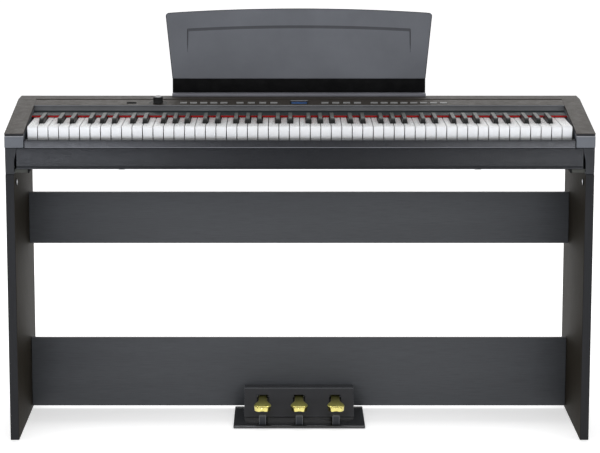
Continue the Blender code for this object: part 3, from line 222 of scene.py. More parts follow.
def noise(tree, vector, scale, detail=2.0, roughness=0.5):
    made = tree.nodes.new("ShaderNodeTexNoise")
    made.inputs["Scale"].default_value = scale
    made.inputs["Detail"].default_value = detail
    made.inputs["Roughness"].default_value = roughness
    tree.links.new(vector, made.inputs["Vector"])
    return made.outputs["Fac"]


def cells(tree, vector, scale):
    made = tree.nodes.new("ShaderNodeTexVoronoi")
    made.inputs["Scale"].default_value = scale
    tree.links.new(vector, made.inputs["Vector"])
    return made.outputs["Distance"]


def ramp(tree, factor, stops):
    """Colours or greys along a factor: (position, (r, g, b) or grey) pairs."""
    made = tree.nodes.new("ShaderNodeValToRGB")
    while len(made.color_ramp.elements) < len(stops):
        made.color_ramp.elements.new(0.5)
    for element, (position, value) in zip(made.color_ramp.elements, stops):
        element.position = position
        element.color = (*value, 1) if isinstance(value, tuple) else (value, value, value, 1)
    tree.links.new(factor, made.inputs["Fac"])
    return made.outputs["Color"]


def combine_values(tree, operation, first, second):
    made = tree.nodes.new("ShaderNodeMath")
    made.operation = operation
    for socket, value in zip(made.inputs, (first, second)):
        if isinstance(value, (int, float)):
            socket.default_value = value
        else:
            tree.links.new(value, socket)
    return made.outputs[0]


def multiply(tree, first, second, amount):
    """Two colours multiplied together by a set amount."""
    made = tree.nodes.new("ShaderNodeMix")
    made.data_type = 'RGBA'
    made.blend_type = 'MULTIPLY'
    made.inputs["Factor"].default_value = amount
    tree.links.new(first, made.inputs[6])
    tree.links.new(second, made.inputs[7])
    return made.outputs[2]


def raise_surface(tree, shader, height, distance, strength=1.0):
    made = tree.nodes.new("ShaderNodeBump")
    made.inputs["Strength"].default_value = strength
    made.inputs["Distance"].default_value = distance
    tree.links.new(height, made.inputs["Height"])
    tree.links.new(made.outputs["Normal"], shader.inputs["Normal"])


def shade(colour, factor):
    return tuple(min(1.0, part * factor) for part in colour)


def wear(tree, colour, scale=9.0, depth=0.10):
    """Slow, faint changes of tone over a whole part, like handling and dust."""
    slow = noise(tree, place_in(tree), scale, 3.0)
    return ramp(tree, slow, ((0.30, shade(colour, 1 - depth)), (0.70, shade(colour, 1 + depth))))


# ------------------------------------------------------------------ materials
def grained_plastic(name, colour, roughness, grain=1500.0, distance=0.00012, specular=0.4):
    """Moulded plastic with a fine leather grain."""
    look, tree, shader = start_look(name, roughness, specular=specular)
    place = place_in(tree)
    pits = cells(tree, place, grain)
    fine = noise(tree, place, grain * 1.7, 2.0)
    relief = combine_values(tree, 'ADD', pits, fine)
    tint = ramp(tree, relief, ((0.35, 0.90), (1.0, 1.0)))
    tree.links.new(multiply(tree, wear(tree, colour), tint, 0.8), shader.inputs["Base Color"])
    slow = noise(tree, place, 60.0, 3.0)
    smears = ramp(tree, slow, ((0.3, roughness * 0.85), (0.7, roughness * 1.15)))
    tree.links.new(smears, shader.inputs["Roughness"])
    raise_surface(tree, shader, relief, distance)
    return look


def board_foil(name, colour, along, roughness=0.5, specular=0.35):
    """Black wood-grain foil on board, its grain along X or Z."""
    look, tree, shader = start_look(name, roughness, specular=specular)
    fine_across = {'X': (2.0, 90.0, 90.0), 'Z': (90.0, 90.0, 2.0)}[along]
    wide_across = {'X': (1.2, 14.0, 14.0), 'Z': (14.0, 14.0, 1.2)}[along]
    fibres = noise(tree, place_in(tree, fine_across), 9.0, 4.0, 0.65)
    bands = noise(tree, place_in(tree, wide_across), 2.0, 3.0)
    tint = ramp(tree, fibres, ((0.36, shade(colour, 0.80)), (0.52, colour), (0.72, shade(colour, 1.16))))
    drift = ramp(tree, bands, ((0.3, 0.90), (0.7, 1.0)))
    pores = ramp(tree, noise(tree, place_in(tree, fine_across), 26.0, 1.0), ((0.30, 0.72), (0.40, 1.0)))
    tree.links.new(multiply(tree, multiply(tree, tint, drift, 1.0), pores, 0.7), shader.inputs["Base Color"])
    tree.links.new(ramp(tree, fibres, ((0.3, roughness * 0.88), (0.7, roughness * 1.12))),
                   shader.inputs["Roughness"])
    raise_surface(tree, shader, combine_values(tree, 'ADD', fibres, pores), 0.00010, 0.8)
    return look


def key_acrylic(name, colour):
    """Glossy moulded key with the faintest waviness and fine scuffs."""
    look, tree, shader = start_look(name, 0.28, specular=0.38)
    place = place_in(tree)
    tree.links.new(wear(tree, colour, 14.0, 0.015), shader.inputs["Base Color"])
    scuffs = noise(tree, place_in(tree, (1, 0.12, 1)), 900.0, 2.0)
    tree.links.new(ramp(tree, scuffs, ((0.35, 0.20), (0.75, 0.38))), shader.inputs["Roughness"])
    shader.inputs["Subsurface Weight"].default_value = 0.05
    shader.inputs["Subsurface Radius"].default_value = (0.002, 0.0018, 0.0016)
    raise_surface(tree, shader, noise(tree, place, 120.0, 2.0), 0.00006, 0.5)
    return look


def felt(name, colour):
    """Pressed wool: short fibres in every direction."""
    look, tree, shader = start_look(name, 0.95, specular=0.1, sheen=0.35)
    place = place_in(tree)
    fibres = noise(tree, place, 2600.0, 4.0, 0.7)
    clumps = noise(tree, place, 320.0, 2.0)
    tint = ramp(tree, fibres, ((0.30, shade(colour, 0.55)), (0.70, shade(colour, 1.35))))
    tree.links.new(multiply(tree, tint, ramp(tree, clumps, ((0.3, 0.82), (0.7, 1.0))), 1.0),
                   shader.inputs["Base Color"])
    raise_surface(tree, shader, fibres, 0.00030)
    return look


def gloss_black(name, colour, roughness):
    """Painted steel with orange peel and a little dust."""
    look, tree, shader = start_look(name, roughness, specular=0.5, coat=0.35)
    place = place_in(tree)
    dust = ramp(tree, noise(tree, place, 1400.0, 1.0), ((0.45, colour), (0.75, shade(colour, 1.25))))
    tree.links.new(dust, shader.inputs["Base Color"])
    slow = noise(tree, place, 35.0, 3.0)
    smears = ramp(tree, slow, ((0.3, roughness * 0.9), (0.7, roughness * 1.15)))
    tree.links.new(smears, shader.inputs["Roughness"])
    raise_surface(tree, shader, noise(tree, place, 420.0, 2.0), 0.00005, 0.6)
    return look


def brushed_metal(name, colour, roughness, grain=(260.0, 12.0, 260.0), stain=0.12):
    """Metal with fine lines along one direction and a cloudy tarnish."""
    look, tree, shader = start_look(name, roughness, metallic=1.0)
    lines = noise(tree, place_in(tree, grain), 6.0, 3.0, 0.6)
    clouds = noise(tree, place_in(tree), 55.0, 3.0)
    tint = ramp(tree, clouds, ((0.30, shade(colour, 1 - stain)), (0.65, colour)))
    tree.links.new(multiply(tree, tint, ramp(tree, lines, ((0.3, 0.90), (0.7, 1.0))), 1.0),
                   shader.inputs["Base Color"])
    tree.links.new(ramp(tree, lines, ((0.25, roughness * 0.75), (0.75, roughness * 1.3))),
                   shader.inputs["Roughness"])
    raise_surface(tree, shader, lines, 0.00003, 0.5)
    return look


def circuit_board(name, colour):
    """Green lacquer over copper tracks, with tinned pads."""
    look, tree, shader = start_look(name, 0.35, specular=0.5)
    tracks = tree.nodes.new("ShaderNodeTexBrick")
    tracks.inputs["Scale"].default_value = 140.0
    tracks.inputs["Mortar Size"].default_value = 0.06
    tracks.inputs["Color1"].default_value = (*colour, 1)
    tracks.inputs["Color2"].default_value = (*shade(colour, 0.8), 1)
    tracks.inputs["Mortar"].default_value = (*shade(colour, 1.9), 1)
    tree.links.new(place_in(tree), tracks.inputs["Vector"])
    pads = ramp(tree, cells(tree, place_in(tree), 300.0), ((0.10, 1.0), (0.16, 0.75)))
    tree.links.new(multiply(tree, tracks.outputs["Color"], pads, 0.8), shader.inputs["Base Color"])
    raise_surface(tree, shader, tracks.outputs["Fac"], 0.00004)
    return look


def display_glass(name, dark, glow):
    """Dark blue window, lit from its front edge."""
    look, tree, shader = start_look(name, 0.08, specular=0.5, coat=0.5)
    place = place_in(tree)
    split = tree.nodes.new("ShaderNodeSeparateXYZ")
    tree.links.new(place, split.inputs["Vector"])
    front = low("display_module").y
    run = high("display_module").y - front
    across = combine_values(tree, 'DIVIDE', combine_values(tree, 'SUBTRACT', split.outputs["Y"], front), run)
    tree.links.new(ramp(tree, across, ((0.10, shade(glow, 0.5)), (0.55, dark))), shader.inputs["Base Color"])
    light = ramp(tree, across, ((0.12, shade(glow, 1.6)), (0.38, shade(glow, 0.35)),
                                (0.55, shade(dark, 0.3))))
    dots = ramp(tree, cells(tree, place, 900.0), ((0.3, 0.8), (0.6, 1.0)))
    tree.links.new(multiply(tree, light, dots, 0.5), shader.inputs["Emission Color"])
    shader.inputs["Emission Strength"].default_value = 0.30
    return look


def printed_ink(name, colour):
    """Screen-printed marking, slightly uneven."""
    look, tree, shader = start_look(name, 0.6, specular=0.3)
    tone = ramp(tree, noise(tree, place_in(tree), 2400.0, 2.0), ((0.3, shade(colour, 0.80)), (0.7, colour)))
    tree.links.new(tone, shader.inputs["Base Color"])
    return look


BODY = (0.058, 0.0505, 0.0440)
LOOKS = {
    "board_edge": board_foil("board_edge", (0.015, 0.0155, 0.0175), 'Z', 0.50, 0.15),
    # painted light: warmer copy of the board foil for the side panels' inner faces, standing in for the warm
    # light on them
    "board_side_painted_warm_light": board_foil("board_side_painted_warm_light", (0.018, 0.0145, 0.0095), 'Z', 0.62, 0.06),
    # painted light: lighter copy of the board foil for the crossbars, standing in for the glare on them
    "board_bar_painted_glare": board_foil("board_bar_painted_glare", (0.050, 0.053, 0.058), 'X', 0.50, 0.30),
    "body_grey": grained_plastic("body_grey", BODY, 0.50, specular=0.12),
    # painted light: lighter copy of the body plastic for the panel's upright face, standing in for the front
    # light on it
    "face_grey_painted_light": grained_plastic("face_grey_painted_light", (0.230, 0.236, 0.250), 0.40),
    "ledge_teal": grained_plastic("ledge_teal", (0.020, 0.027, 0.030), 0.55, specular=0.2),
    "slip_grey": grained_plastic("slip_grey", (0.006, 0.0068, 0.010), 0.22, 1500.0, 0.00003, 0.29),
    "block_front": grained_plastic("block_front", (0.096, 0.104, 0.120), 0.45),
    "case_grey": grained_plastic("case_grey", (0.006, 0.0068, 0.009), 0.22, 420.0, 0.00014, 0.17),
    # painted highlight: light grey on the end blocks' rounded front edges and the pedal cover's bent edges
    "edge_painted_highlight": grained_plastic("edge_painted_highlight", (0.330, 0.340, 0.360), 0.45),
    # painted highlight: mid grey on the key slip's rounded lower edge
    "slip_edge_painted_highlight": grained_plastic("slip_edge_painted_highlight", (0.120, 0.124, 0.138), 0.40),
    "support_grey": grained_plastic("support_grey", (0.021, 0.0225, 0.026), 0.50, specular=0.25),
    "flange_dark": grained_plastic("flange_dark", (0.046, 0.048, 0.043), 0.60, specular=0.2),
    "key_white": key_acrylic("key_white", (0.86, 0.865, 0.87)),
    "key_black": grained_plastic("key_black", (0.010, 0.0105, 0.0105), 0.36, 1800.0, 0.00010, 0.35),
    # painted sheen: lighter copy of the black key plastic for the keys' tops, standing in for the light they
    # catch
    "key_black_top_painted_sheen": grained_plastic("key_black_top_painted_sheen", (0.074, 0.080, 0.075), 0.42, 1800.0, 0.00010, 0.5),
    "felt_red": felt("felt_red", (0.66, 0.010, 0.012)),
    "pedal_black": gloss_black("pedal_black", (0.012, 0.012, 0.013), 0.14),
    "cover_black": gloss_black("cover_black", (0.058, 0.058, 0.061), 0.22),
    "brass": brushed_metal("brass", (0.90, 0.80, 0.27), 0.13),
    # painted reflection: darker olive copy of the brass for the pedals' tops, standing in for the dark
    # surroundings they reflect
    "brass_top_painted_dark_reflection": brushed_metal("brass_top_painted_dark_reflection", (0.60, 0.56, 0.12), 0.32),
    "steel": brushed_metal("steel", (0.56, 0.57, 0.59), 0.34, (14.0, 220.0, 220.0)),
    # painted highlight: light grey kept on the stop posts' rounded edges, their fronts take a dark grey
    "rubber_grey": grained_plastic("rubber_grey", (0.130, 0.134, 0.142), 0.75, 1100.0, 0.00015, 0.25),
    "board_green": circuit_board("board_green", (0.020, 0.130, 0.060)),
    "cone_black": felt("cone_black", (0.030, 0.030, 0.030)),
    "glass_blue": display_glass("glass_blue", (0.006, 0.014, 0.050), (0.03, 0.16, 0.50)),
    "rest_grey": grained_plastic("rest_grey", (0.120, 0.126, 0.141), 0.55, 1300.0, 0.00012, 0.35),
    # painted shade: near-black grey laid on the end caps' grooves, the back of the top and the music rest's
    # rim
    "edge_painted_shade": grained_plastic("edge_painted_shade", (0.020, 0.020, 0.023), 0.60, 1300.0, 0.00010, 0.2),
    # painted shade: darker grey on the music rest's slanting recess step
    "rest_step_painted_shade": grained_plastic("rest_step_painted_shade", (0.062, 0.064, 0.072), 0.60, 1300.0, 0.00010, 0.3),
    # painted light: lighter copy of the music rest's grey for its foot, standing in for the light on the lip
    "lip_grey_painted_light": grained_plastic("lip_grey_painted_light", (0.190, 0.192, 0.218), 0.50, 1300.0, 0.00012, 0.35),
    "grip_black": grained_plastic("grip_black", (0.0042, 0.0042, 0.0045), 0.85, 900.0, 0.00020, 0.12),
    "button_grey": grained_plastic("button_grey", (0.300, 0.300, 0.300), 0.50, 1600.0, 0.00008),
    "bezel_grey": grained_plastic("bezel_grey", (0.300, 0.305, 0.310), 0.35, 1600.0, 0.00006),
    "ink_white": printed_ink("ink_white", (0.30, 0.30, 0.29)),
    "ink_black": printed_ink("ink_black", (0.008, 0.008, 0.008)),
}


# ------------------------------------------------------------------ shape helpers
def fillet(corners, steps=5):
    """A closed outline with its corners rounded: (a, b) or (a, b, radius) for each."""
    outline = []
    for index, corner in enumerate(corners):
        here = Vector(corner[:2])
        radius = corner[2] if len(corner) > 2 else 0.0
        before = Vector(corners[index - 1][:2]) - here
        after = Vector(corners[(index + 1) % len(corners)][:2]) - here
        half = before.angle(after) / 2
        if radius == 0.0 or half > math.pi / 2 - 0.01:
            outline.append(tuple(here))
            continue
        reach = min(radius / math.tan(half), before.length * 0.49, after.length * 0.49)
        radius = reach * math.tan(half)
        middle = here + (before.normalized() + after.normalized()).normalized() * radius / math.sin(half)
        first = here + before.normalized() * reach - middle
        turn = first.angle_signed(here + after.normalized() * reach - middle)
        for step in range(steps + 1):
            spin = Matrix.Rotation(-turn * step / steps, 2)
            outline.append(tuple(middle + spin @ first))
    return outline


def circle(radius, steps, across=0.0, along=0.0):
    """A round outline about a point."""
    turns = [math.tau * step / steps for step in range(steps)]
    return [(across + radius * math.cos(turn), along + radius * math.sin(turn)) for turn in turns]


def rectangle(across, along, half_width, half_length):
    """A rectangular outline about a point."""
    return [(across + a * half_width, along + b * half_length)
            for a, b in ((-1, -1), (1, -1), (1, 1), (-1, 1))]


def prism(outline, near, far, axis):
    """A closed outline run along an axis: (y, z) points along X, (x, z) along Y, (x, y) along Z."""
    order = {'X': lambda a, b, c: (c, a, b), 'Y': lambda a, b, c: (a, c, b),
             'Z': lambda a, b, c: (a, b, c)}[axis]
    work = bmesh.new()
    first = [work.verts.new(order(a, b, near)) for a, b in outline]
    last = [work.verts.new(order(a, b, far)) for a, b in outline]
    work.faces.new(first)
    work.faces.new(last[::-1])
    for index in range(len(outline)):
        work.faces.new((first[index - 1], last[index - 1], last[index], first[index]))
    bmesh.ops.recalc_face_normals(work, faces=work.faces)
    return work


def skin(work, rings):
    """Faces from ring to ring of vertices, and over the first and the last."""
    for first, second in zip(rings, rings[1:]):
        for index in range(len(first)):
            work.faces.new((first[index - 1], second[index - 1], second[index], first[index]))
    work.faces.new(rings[0])
    work.faces.new(rings[-1][::-1])
    bmesh.ops.recalc_face_normals(work, faces=work.faces)


def soften(work, width, segments=3, where=None, sharp=math.radians(40)):
    """Rounds the sharp edges, or those that a test picks."""
    edges = [edge for edge in work.edges if len(edge.link_faces) == 2
             and edge.calc_face_angle(0.0) > sharp and (where is None or where(edge))]
    bmesh.ops.bevel(work, geom=edges, offset=width, offset_type='OFFSET', segments=segments,
                    profile=0.5, affect='EDGES', clamp_overlap=True)
    return work


def end_edges(axis):
    """A test that picks the edges round a prism's two end faces."""
    place = 'XYZ'.index(axis)
    return lambda edge: abs(edge.verts[0].co[place] - edge.verts[1].co[place]) < 1e-6


def rounded_box(near, far, width, segments=3):
    """A box between two corners with rounded edges."""
    outline = [(near[0], near[1]), (far[0], near[1]), (far[0], far[1]), (near[0], far[1])]
    return soften(prism(outline, near[2], far[2], 'Z'), width, segments)


def turned(profile, steps=48, ribs=0, rib_depth=0.0, rib_span=(0, 0)):
    """Turned about Z from (radius, height) points listed from the top's centre down to the base's."""
    work = bmesh.new()
    rings = []
    for radius, height in profile:
        if radius == 0:
            rings.append([work.verts.new((0, 0, height))])
            continue
        ring = []
        for step in range(steps):
            angle = 2 * math.pi * step / steps
            ribbed = ribs and rib_span[0] <= height <= rib_span[1]
            cut = rib_depth * (0.5 - 0.5 * math.cos(ribs * angle)) if ribbed else 0.0
            ring.append(work.verts.new(((radius - cut) * math.cos(angle), (radius - cut) * math.sin(angle),
                                        height)))
        rings.append(ring)
    for upper, lower in zip(rings, rings[1:]):
        for step in range(steps):
            following = (step + 1) % steps
            face = [upper[step % len(upper)], lower[step % len(lower)],
                    lower[following % len(lower)], upper[following % len(upper)]]
            work.faces.new(list(dict.fromkeys(face)))
    bmesh.ops.recalc_face_normals(work, faces=work.faces)
    return work


def moved(work, matrix):
    bmesh.ops.transform(work, matrix=matrix, verts=work.verts)
    return work


def gather(works):
    """Several meshes as one."""
    whole = bmesh.new()
    for work in works:
        mesh = bpy.data.meshes.new("part")
        work.to_mesh(mesh)
        work.free()
        whole.from_mesh(mesh)
        bpy.data.meshes.remove(mesh)
    return whole


def cut_out(work, cutters):
    """The mesh with other meshes cut from it."""
    items = []
    for shape, name in ((work, "cut_body"), (gather(cutters), "cut_tool")):
        mesh = bpy.data.meshes.new(name)
        shape.to_mesh(mesh)
        shape.free()
        items.append(bpy.data.objects.new(name, mesh))
        bpy.context.scene.collection.objects.link(items[-1])
    step = items[0].modifiers.new("cut", 'BOOLEAN')
    step.operation = 'DIFFERENCE'
    step.object = items[1]
    graph = bpy.context.evaluated_depsgraph_get()
    made = bpy.data.meshes.new_from_object(items[0].evaluated_get(graph))
    for item in items:
        bpy.data.objects.remove(item, do_unlink=True)
    result = bmesh.new()
    result.from_mesh(made)
    bpy.data.meshes.remove(made)
    return result


def add_piece(name, work, look, body, replaces=(), sharp=32):
    """Makes the mesh a piece of the object that rides on a body and takes a finish."""
    mesh = bpy.data.meshes.new(name)
    work.to_mesh(mesh)
    work.free()
    mesh.materials.clear()
    mesh.materials.append(LOOKS[look])
    mesh.shade_smooth()
    mesh.set_sharp_from_angle(angle=math.radians(sharp))
    item = bpy.data.objects.new(name, mesh)
    bpy.context.scene.collection.objects.link(item)
    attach(item, body)
    if replaces:
        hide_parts(*replaces)
    return item


def paint(item, look, picks):
    """Gives the faces that a test picks another finish."""
    item.data.materials.append(LOOKS[look])
    for polygon in item.data.polygons:
        if picks(polygon):
            polygon.material_index = len(item.data.materials) - 1


# ------------------------------------------------------------------ keys
KEY_ROUND = 0.0009
LIP_THICKNESS = 0.0024
LIP_REACH = 0.0008
TAIL_INSET = 0.0015
TAIL_THICKNESS = 0.004
TAIL_PITCH = 0.009
ROD_Y = centre_of("key_pivot_rod", "y")
ROD_Z = centre_of("key_pivot_rod", "z")
ROD_RADIUS = (high("key_pivot_rod").z - low("key_pivot_rod").z) / 2


def white_left(index):
    return KEYS_LEFT + index * WHITE_PITCH


def black_centre(note):
    """Black keys share the whites from C to E and from F to B out evenly."""
    step = note % 12
    whites_before = {1: 0, 3: 1, 6: 3, 8: 4, 10: 5}[step]
    octave_c = white_left(WHITE_NOTES.index(note - 1)) - whites_before * WHITE_PITCH
    if step < 5:
        return octave_c + (step + 0.5) * 3 * WHITE_PITCH / 5
    return octave_c + 3 * WHITE_PITCH + (step - 4.5) * 4 * WHITE_PITCH / 7


def white_key(note):
    """A white key with its notches, a rounded top edge and a lip over its front."""
    left = white_left(WHITE_NOTES.index(note)) + SHOWN_GAP / 2
    right = left + WHITE_PITCH - SHOWN_GAP
    clear = BLACK_WIDTH / 2 + BLACK_GAP
    near = black_centre(note - 1) + clear if note - 1 in BLACK_NOTES else left
    far = black_centre(note + 1) - clear if note + 1 in BLACK_NOTES else right
    head = KEY_FRONT + HEAD_LENGTH - BLACK_GAP
    outline = [(left, KEY_FRONT), (right, KEY_FRONT)]
    outline += [(right, head), (far, head)] if far < right else []
    outline += [(far, WHITE_REAR), (near, WHITE_REAR)]
    outline += [(near, head), (left, head)] if near > left else []
    work = prism(outline, KEY_BASE, KEY_TOP, 'Z')
    for height in (KEY_TOP - LIP_THICKNESS, KEY_TOP - LIP_THICKNESS * 1.3):
        bmesh.ops.bisect_plane(work, geom=work.verts[:] + work.edges[:] + work.faces[:],
                               plane_co=(0, 0, height), plane_no=(0, 0, 1))
    for vertex in work.verts:
        if vertex.co.y < KEY_FRONT + 1e-5 and vertex.co.z < KEY_TOP - LIP_THICKNESS * 1.2:
            vertex.co.y += LIP_REACH
    soften(work, KEY_ROUND, 3, lambda edge: all(v.co.z > KEY_TOP - 1e-5 for v in edge.verts)
           or all(v.co.y < KEY_FRONT + LIP_REACH + 1e-5 for v in edge.verts)
           and abs(edge.verts[0].co.x - edge.verts[1].co.x) < 1e-5)
    return work, (near, far), WHITE_REAR


def black_key(note):
    """A black key, narrower at its top, with a well-rounded front edge."""
    centre = black_centre(note)
    front_round = 0.0040
    profile = fillet([(BLACK_FRONT, BLACK_BASE), (BLACK_REAR, BLACK_BASE), (BLACK_REAR, BLACK_TOP, 0.001),
                      (BLACK_FRONT + BLACK_SLANT, BLACK_TOP, front_round)], 6)
    work = prism(profile, centre - BLACK_WIDTH / 2, centre + BLACK_WIDTH / 2, 'X')
    rise = BLACK_TOP - KEY_TOP
    for vertex in work.verts:
        share = min(1.0, max(0.0, (vertex.co.z - KEY_TOP + rise * 0.1) / rise))
        width = BLACK_WIDTH + (BLACK_TOP_WIDTH - BLACK_WIDTH) * share
        vertex.co.x = centre + math.copysign(width / 2, vertex.co.x - centre)
    soften(work, 0.0011, 3, lambda edge: abs(edge.verts[0].co.x - edge.verts[1].co.x) < 1e-4)
    return work, (centre - BLACK_WIDTH / 2, centre + BLACK_WIDTH / 2), BLACK_REAR


def key_tail(edges, rear, level):
    """Strip from the key back to its open hook over the pivot rod."""
    base = KEY_BASE + TAIL_THICKNESS / 2 + level * TAIL_PITCH
    top = base + TAIL_THICKNESS
    slot = ROD_RADIUS + 0.0003
    jaw = 0.0037
    front, back = ROD_Y - slot - jaw * 1.5, ROD_Y + 0.005
    under, over = min(base, ROD_Z - slot - jaw), max(top, ROD_Z + slot + jaw)
    profile = [(rear - TAIL_THICKNESS, base), (front, base), (front, under), (back, under),
               (back, ROD_Z - slot), (ROD_Y - slot, ROD_Z - slot), (ROD_Y - slot, ROD_Z + slot),
               (back, ROD_Z + slot), (back, over), (front, over), (front, top), (rear - TAIL_THICKNESS, top)]
    return prism(profile, edges[0] + TAIL_INSET, edges[1] - TAIL_INSET, 'X')


def add_keys():
    """The middle octave's keys one by one, and the others by moulding."""
    groups = {}
    for note in NOTES:
        white = note in WHITE_NOTES
        odd = white and WHITE_NOTES.index(note) % 2
        if note in SINGLE_NOTES:
            body = "key_" + STEP_NAMES[note % 12] + str(note // 12 - 1)
        else:
            side = "bass" if note < SINGLE_NOTES[0] else "treble"
            body = side + ("_white_keys_b" if odd else "_white_keys_a" if white else "_black_keys")
        groups.setdefault(body, []).append((note, white, 2 if not white else 1 if odd else 0))
    for body, notes in groups.items():
        shapes = []
        spans = []
        for note, white, level in notes:
            work, edges, rear = white_key(note) if white else black_key(note)
            shapes += [work, key_tail(edges, rear, level)]
            spans.append(edges)
        if len(notes) > 1:
            base = KEY_BASE + TAIL_THICKNESS / 2 + notes[0][2] * TAIL_PITCH - 0.0005
            shapes.append(rounded_box((spans[0][0] + 0.0008, ROD_Y - 0.022, base),
                                      (spans[-1][1] - 0.0008, ROD_Y - 0.014, base + 0.005), 0.0006, 2))
        look = "key_white" if notes[0][1] else "key_black"
        item = add_piece(body + "_tops", gather(shapes), look, body, [body])
        if look == "key_black":
            # painted sheen: the black keys' top faces take the lighter copy
            paint(item, "key_black_top_painted_sheen", lambda face: abs(face.normal.x) < 0.45 and face.center.z > KEY_TOP
                  and face.center.y < BLACK_REAR - 0.002)


def add_felt():
    near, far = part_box("key_felt")
    work = rounded_box(near, far, 0.0007, 2)
    add_piece("felt_strip", work, "felt_red", "piano", ["key_felt"])


# ------------------------------------------------------------------ body
CAP_EDGE = 0.0021               # visible edge of the end blocks' top plates
CAP_DEPTH = 0.0062              # from the plate's top to the lower part's
CAP_OVERHANG = 0.0040


def add_end_block(name, side):
    """A top plate over a lower part, with a groove between them painted dark as shade, and a painted
    highlight on the lower part's rounded front edge.
    """
    near, far = sorted((side * BLOCK_INNER, side * BODY_SIDE))
    top_front = slope_z(FRONT)
    cap = fillet([(FRONT, top_front - CAP_EDGE, 0.0006), (FRONT, top_front, 0.0012), (CREST_Y, CREST, 0.004),
                  (REAR, CREST, 0.0020), (REAR, CREST - CAP_DEPTH, 0.0005),
                  (CREST_Y, CREST - CAP_DEPTH), (FRONT + CAP_OVERHANG, top_front - CAP_DEPTH + 0.0005),
                  (FRONT + CAP_OVERHANG, top_front - CAP_EDGE)])
    work = soften(prism(cap, near, far, 'X'), 0.0009, 3, end_edges('X'))
    item = add_piece(name + "_cap", work, "body_grey", "piano", [name])
    # painted shade: the cap's front edge and the groove under it are painted near black
    paint(item, "edge_painted_shade", lambda face: face.center.y < FRONT + CAP_OVERHANG + 0.001
          and face.center.z < top_front - CAP_EDGE * 0.3)
    lift = 0.0004
    lower = fillet([(FRONT, STAND_TOP + lift, 0.0010), (FRONT, top_front - CAP_DEPTH, 0.0026),
                    (CREST_Y, CREST - CAP_DEPTH - lift), (REAR, CREST - CAP_DEPTH - lift, 0.001),
                    (REAR, STAND_TOP + lift, 0.001)])
    work = soften(prism(lower, near, far, 'X'), 0.0010, 3, end_edges('X'))
    item = add_piece(name + "_lower", work, "block_front", "piano")
    # painted highlight: the lower part's rounded top front edge is painted light
    paint(item, "edge_painted_highlight", lambda face: face.normal.y < -0.2 < 0.2 < face.normal.z
          and face.center.y < FRONT + 0.003)


SLIP_SEAM = 0.0022              # dark seam at each end of the strip before the keys


def add_key_slip():
    """Bent strip in front of the keys with a rounded top edge."""
    near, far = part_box("key_slip")
    wall = 0.003
    profile = fillet([(near.y, near.z + 0.0003, 0.0008), (near.y, near.z + 0.0020), (near.y, far.z, 0.0014),
                      (far.y, far.z, 0.001),
                      (far.y, near.z + 0.0003), (far.y - wall, near.z + 0.0003),
                      (far.y - wall, far.z - wall, 0.0008), (near.y + wall, far.z - wall, 0.0008),
                      (near.y + wall, near.z + 0.0003)])
    work = prism(profile, near.x + SLIP_SEAM, far.x - SLIP_SEAM, 'X')
    item = add_piece("slip_strip", work, "slip_grey", "piano", ["key_slip"])
    # painted highlight: the strip's rounded lower edge is painted lighter
    paint(item, "slip_edge_painted_highlight", lambda face: face.center.z < near.z + 0.0020 and face.normal.y < -0.2)


TAB_PLACES = (-0.398, 0.398)    # small tabs under the front beam


def add_case_front():
    """Grained front beam over the case's front wall, with a rolled lower edge."""
    near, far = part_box("bottom_case")
    skin = 0.0012
    profile = fillet([(near.y - skin, near.z + 0.0060, 0.003), (near.y - skin, far.z - 0.0002, 0.0008),
                      (near.y - 0.0001, far.z - 0.0002), (near.y - 0.0001, near.z + 0.0008),
                      (near.y + 0.0030, near.z - 0.0001), (near.y + 0.0030, near.z - 0.0010),
                      (near.y + 0.0010, near.z - 0.0010, 0.001)])
    work = prism(profile, near.x + 0.0005, far.x - 0.0005, 'X')
    add_piece("case_front", work, "case_grey", "piano")
    tabs = [rounded_box((x - 0.007, near.y + 0.004, near.z - 0.0022),
                        (x + 0.007, near.y + 0.016, near.z - 0.0002), 0.0006, 2) for x in TAB_PLACES]
    add_piece("case_tabs", gather(tabs), "pedal_black", "piano")


def panel_matrix(x):
    """From the panel's own axes (across, up the slope, out of the face) to the frame."""
    y = PANEL_FRONT + CONTROL_RUN
    return Matrix.Translation((x, y, slope_z(y))) @ Matrix.Rotation(SLOPE, 4, 'X')


def on_panel(work, x, further=Matrix()):
    """A shape made about the origin, set on the sloping panel's control line."""
    return moved(work, panel_matrix(x) @ further)


def rounded_plan(width, length, radius):
    return fillet([(-width / 2, -length / 2, radius), (width / 2, -length / 2, radius),
                   (width / 2, length / 2, radius), (-width / 2, length / 2, radius)], 3)


def row_places(name):
    """Centres of a row's buttons, from the row's box and its buttons' spacing."""
    near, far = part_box(name)
    count, pitch = ROWS[name]
    middle = (near.x + far.x) / 2
    return [middle + (index - (count - 1) / 2) * pitch for index in range(count)]


ROWS = {"button_row_1": (5, 0.0236), "button_row_2": (4, 0.0263), "button_row_3": (4, 0.0253),
        "button_row_4": (8, 0.0231)}
BUTTON = (0.017, 0.008)
POWER_BUTTON = (0.021, 0.008)
BUTTON_PROUD = 0.0014
BUTTON_GAP = 0.0013
POWER_X = centre_of("power_button", "x")
KNOB_X = centre_of("volume_knob", "x")
KNOB_RADIUS = (high("volume_knob").x - low("volume_knob").x) / 2
DISPLAY_X = centre_of("display_module", "x")
KNOB_HOLE = 0.0036
DISPLAY = (0.042, 0.028)
DISPLAY_SHIFT = DISPLAY[1] / 2 - BUTTON[1] * 1.2


CREST_GROOVE = 0.0060           # open seam between the sloping panel and the rear strip


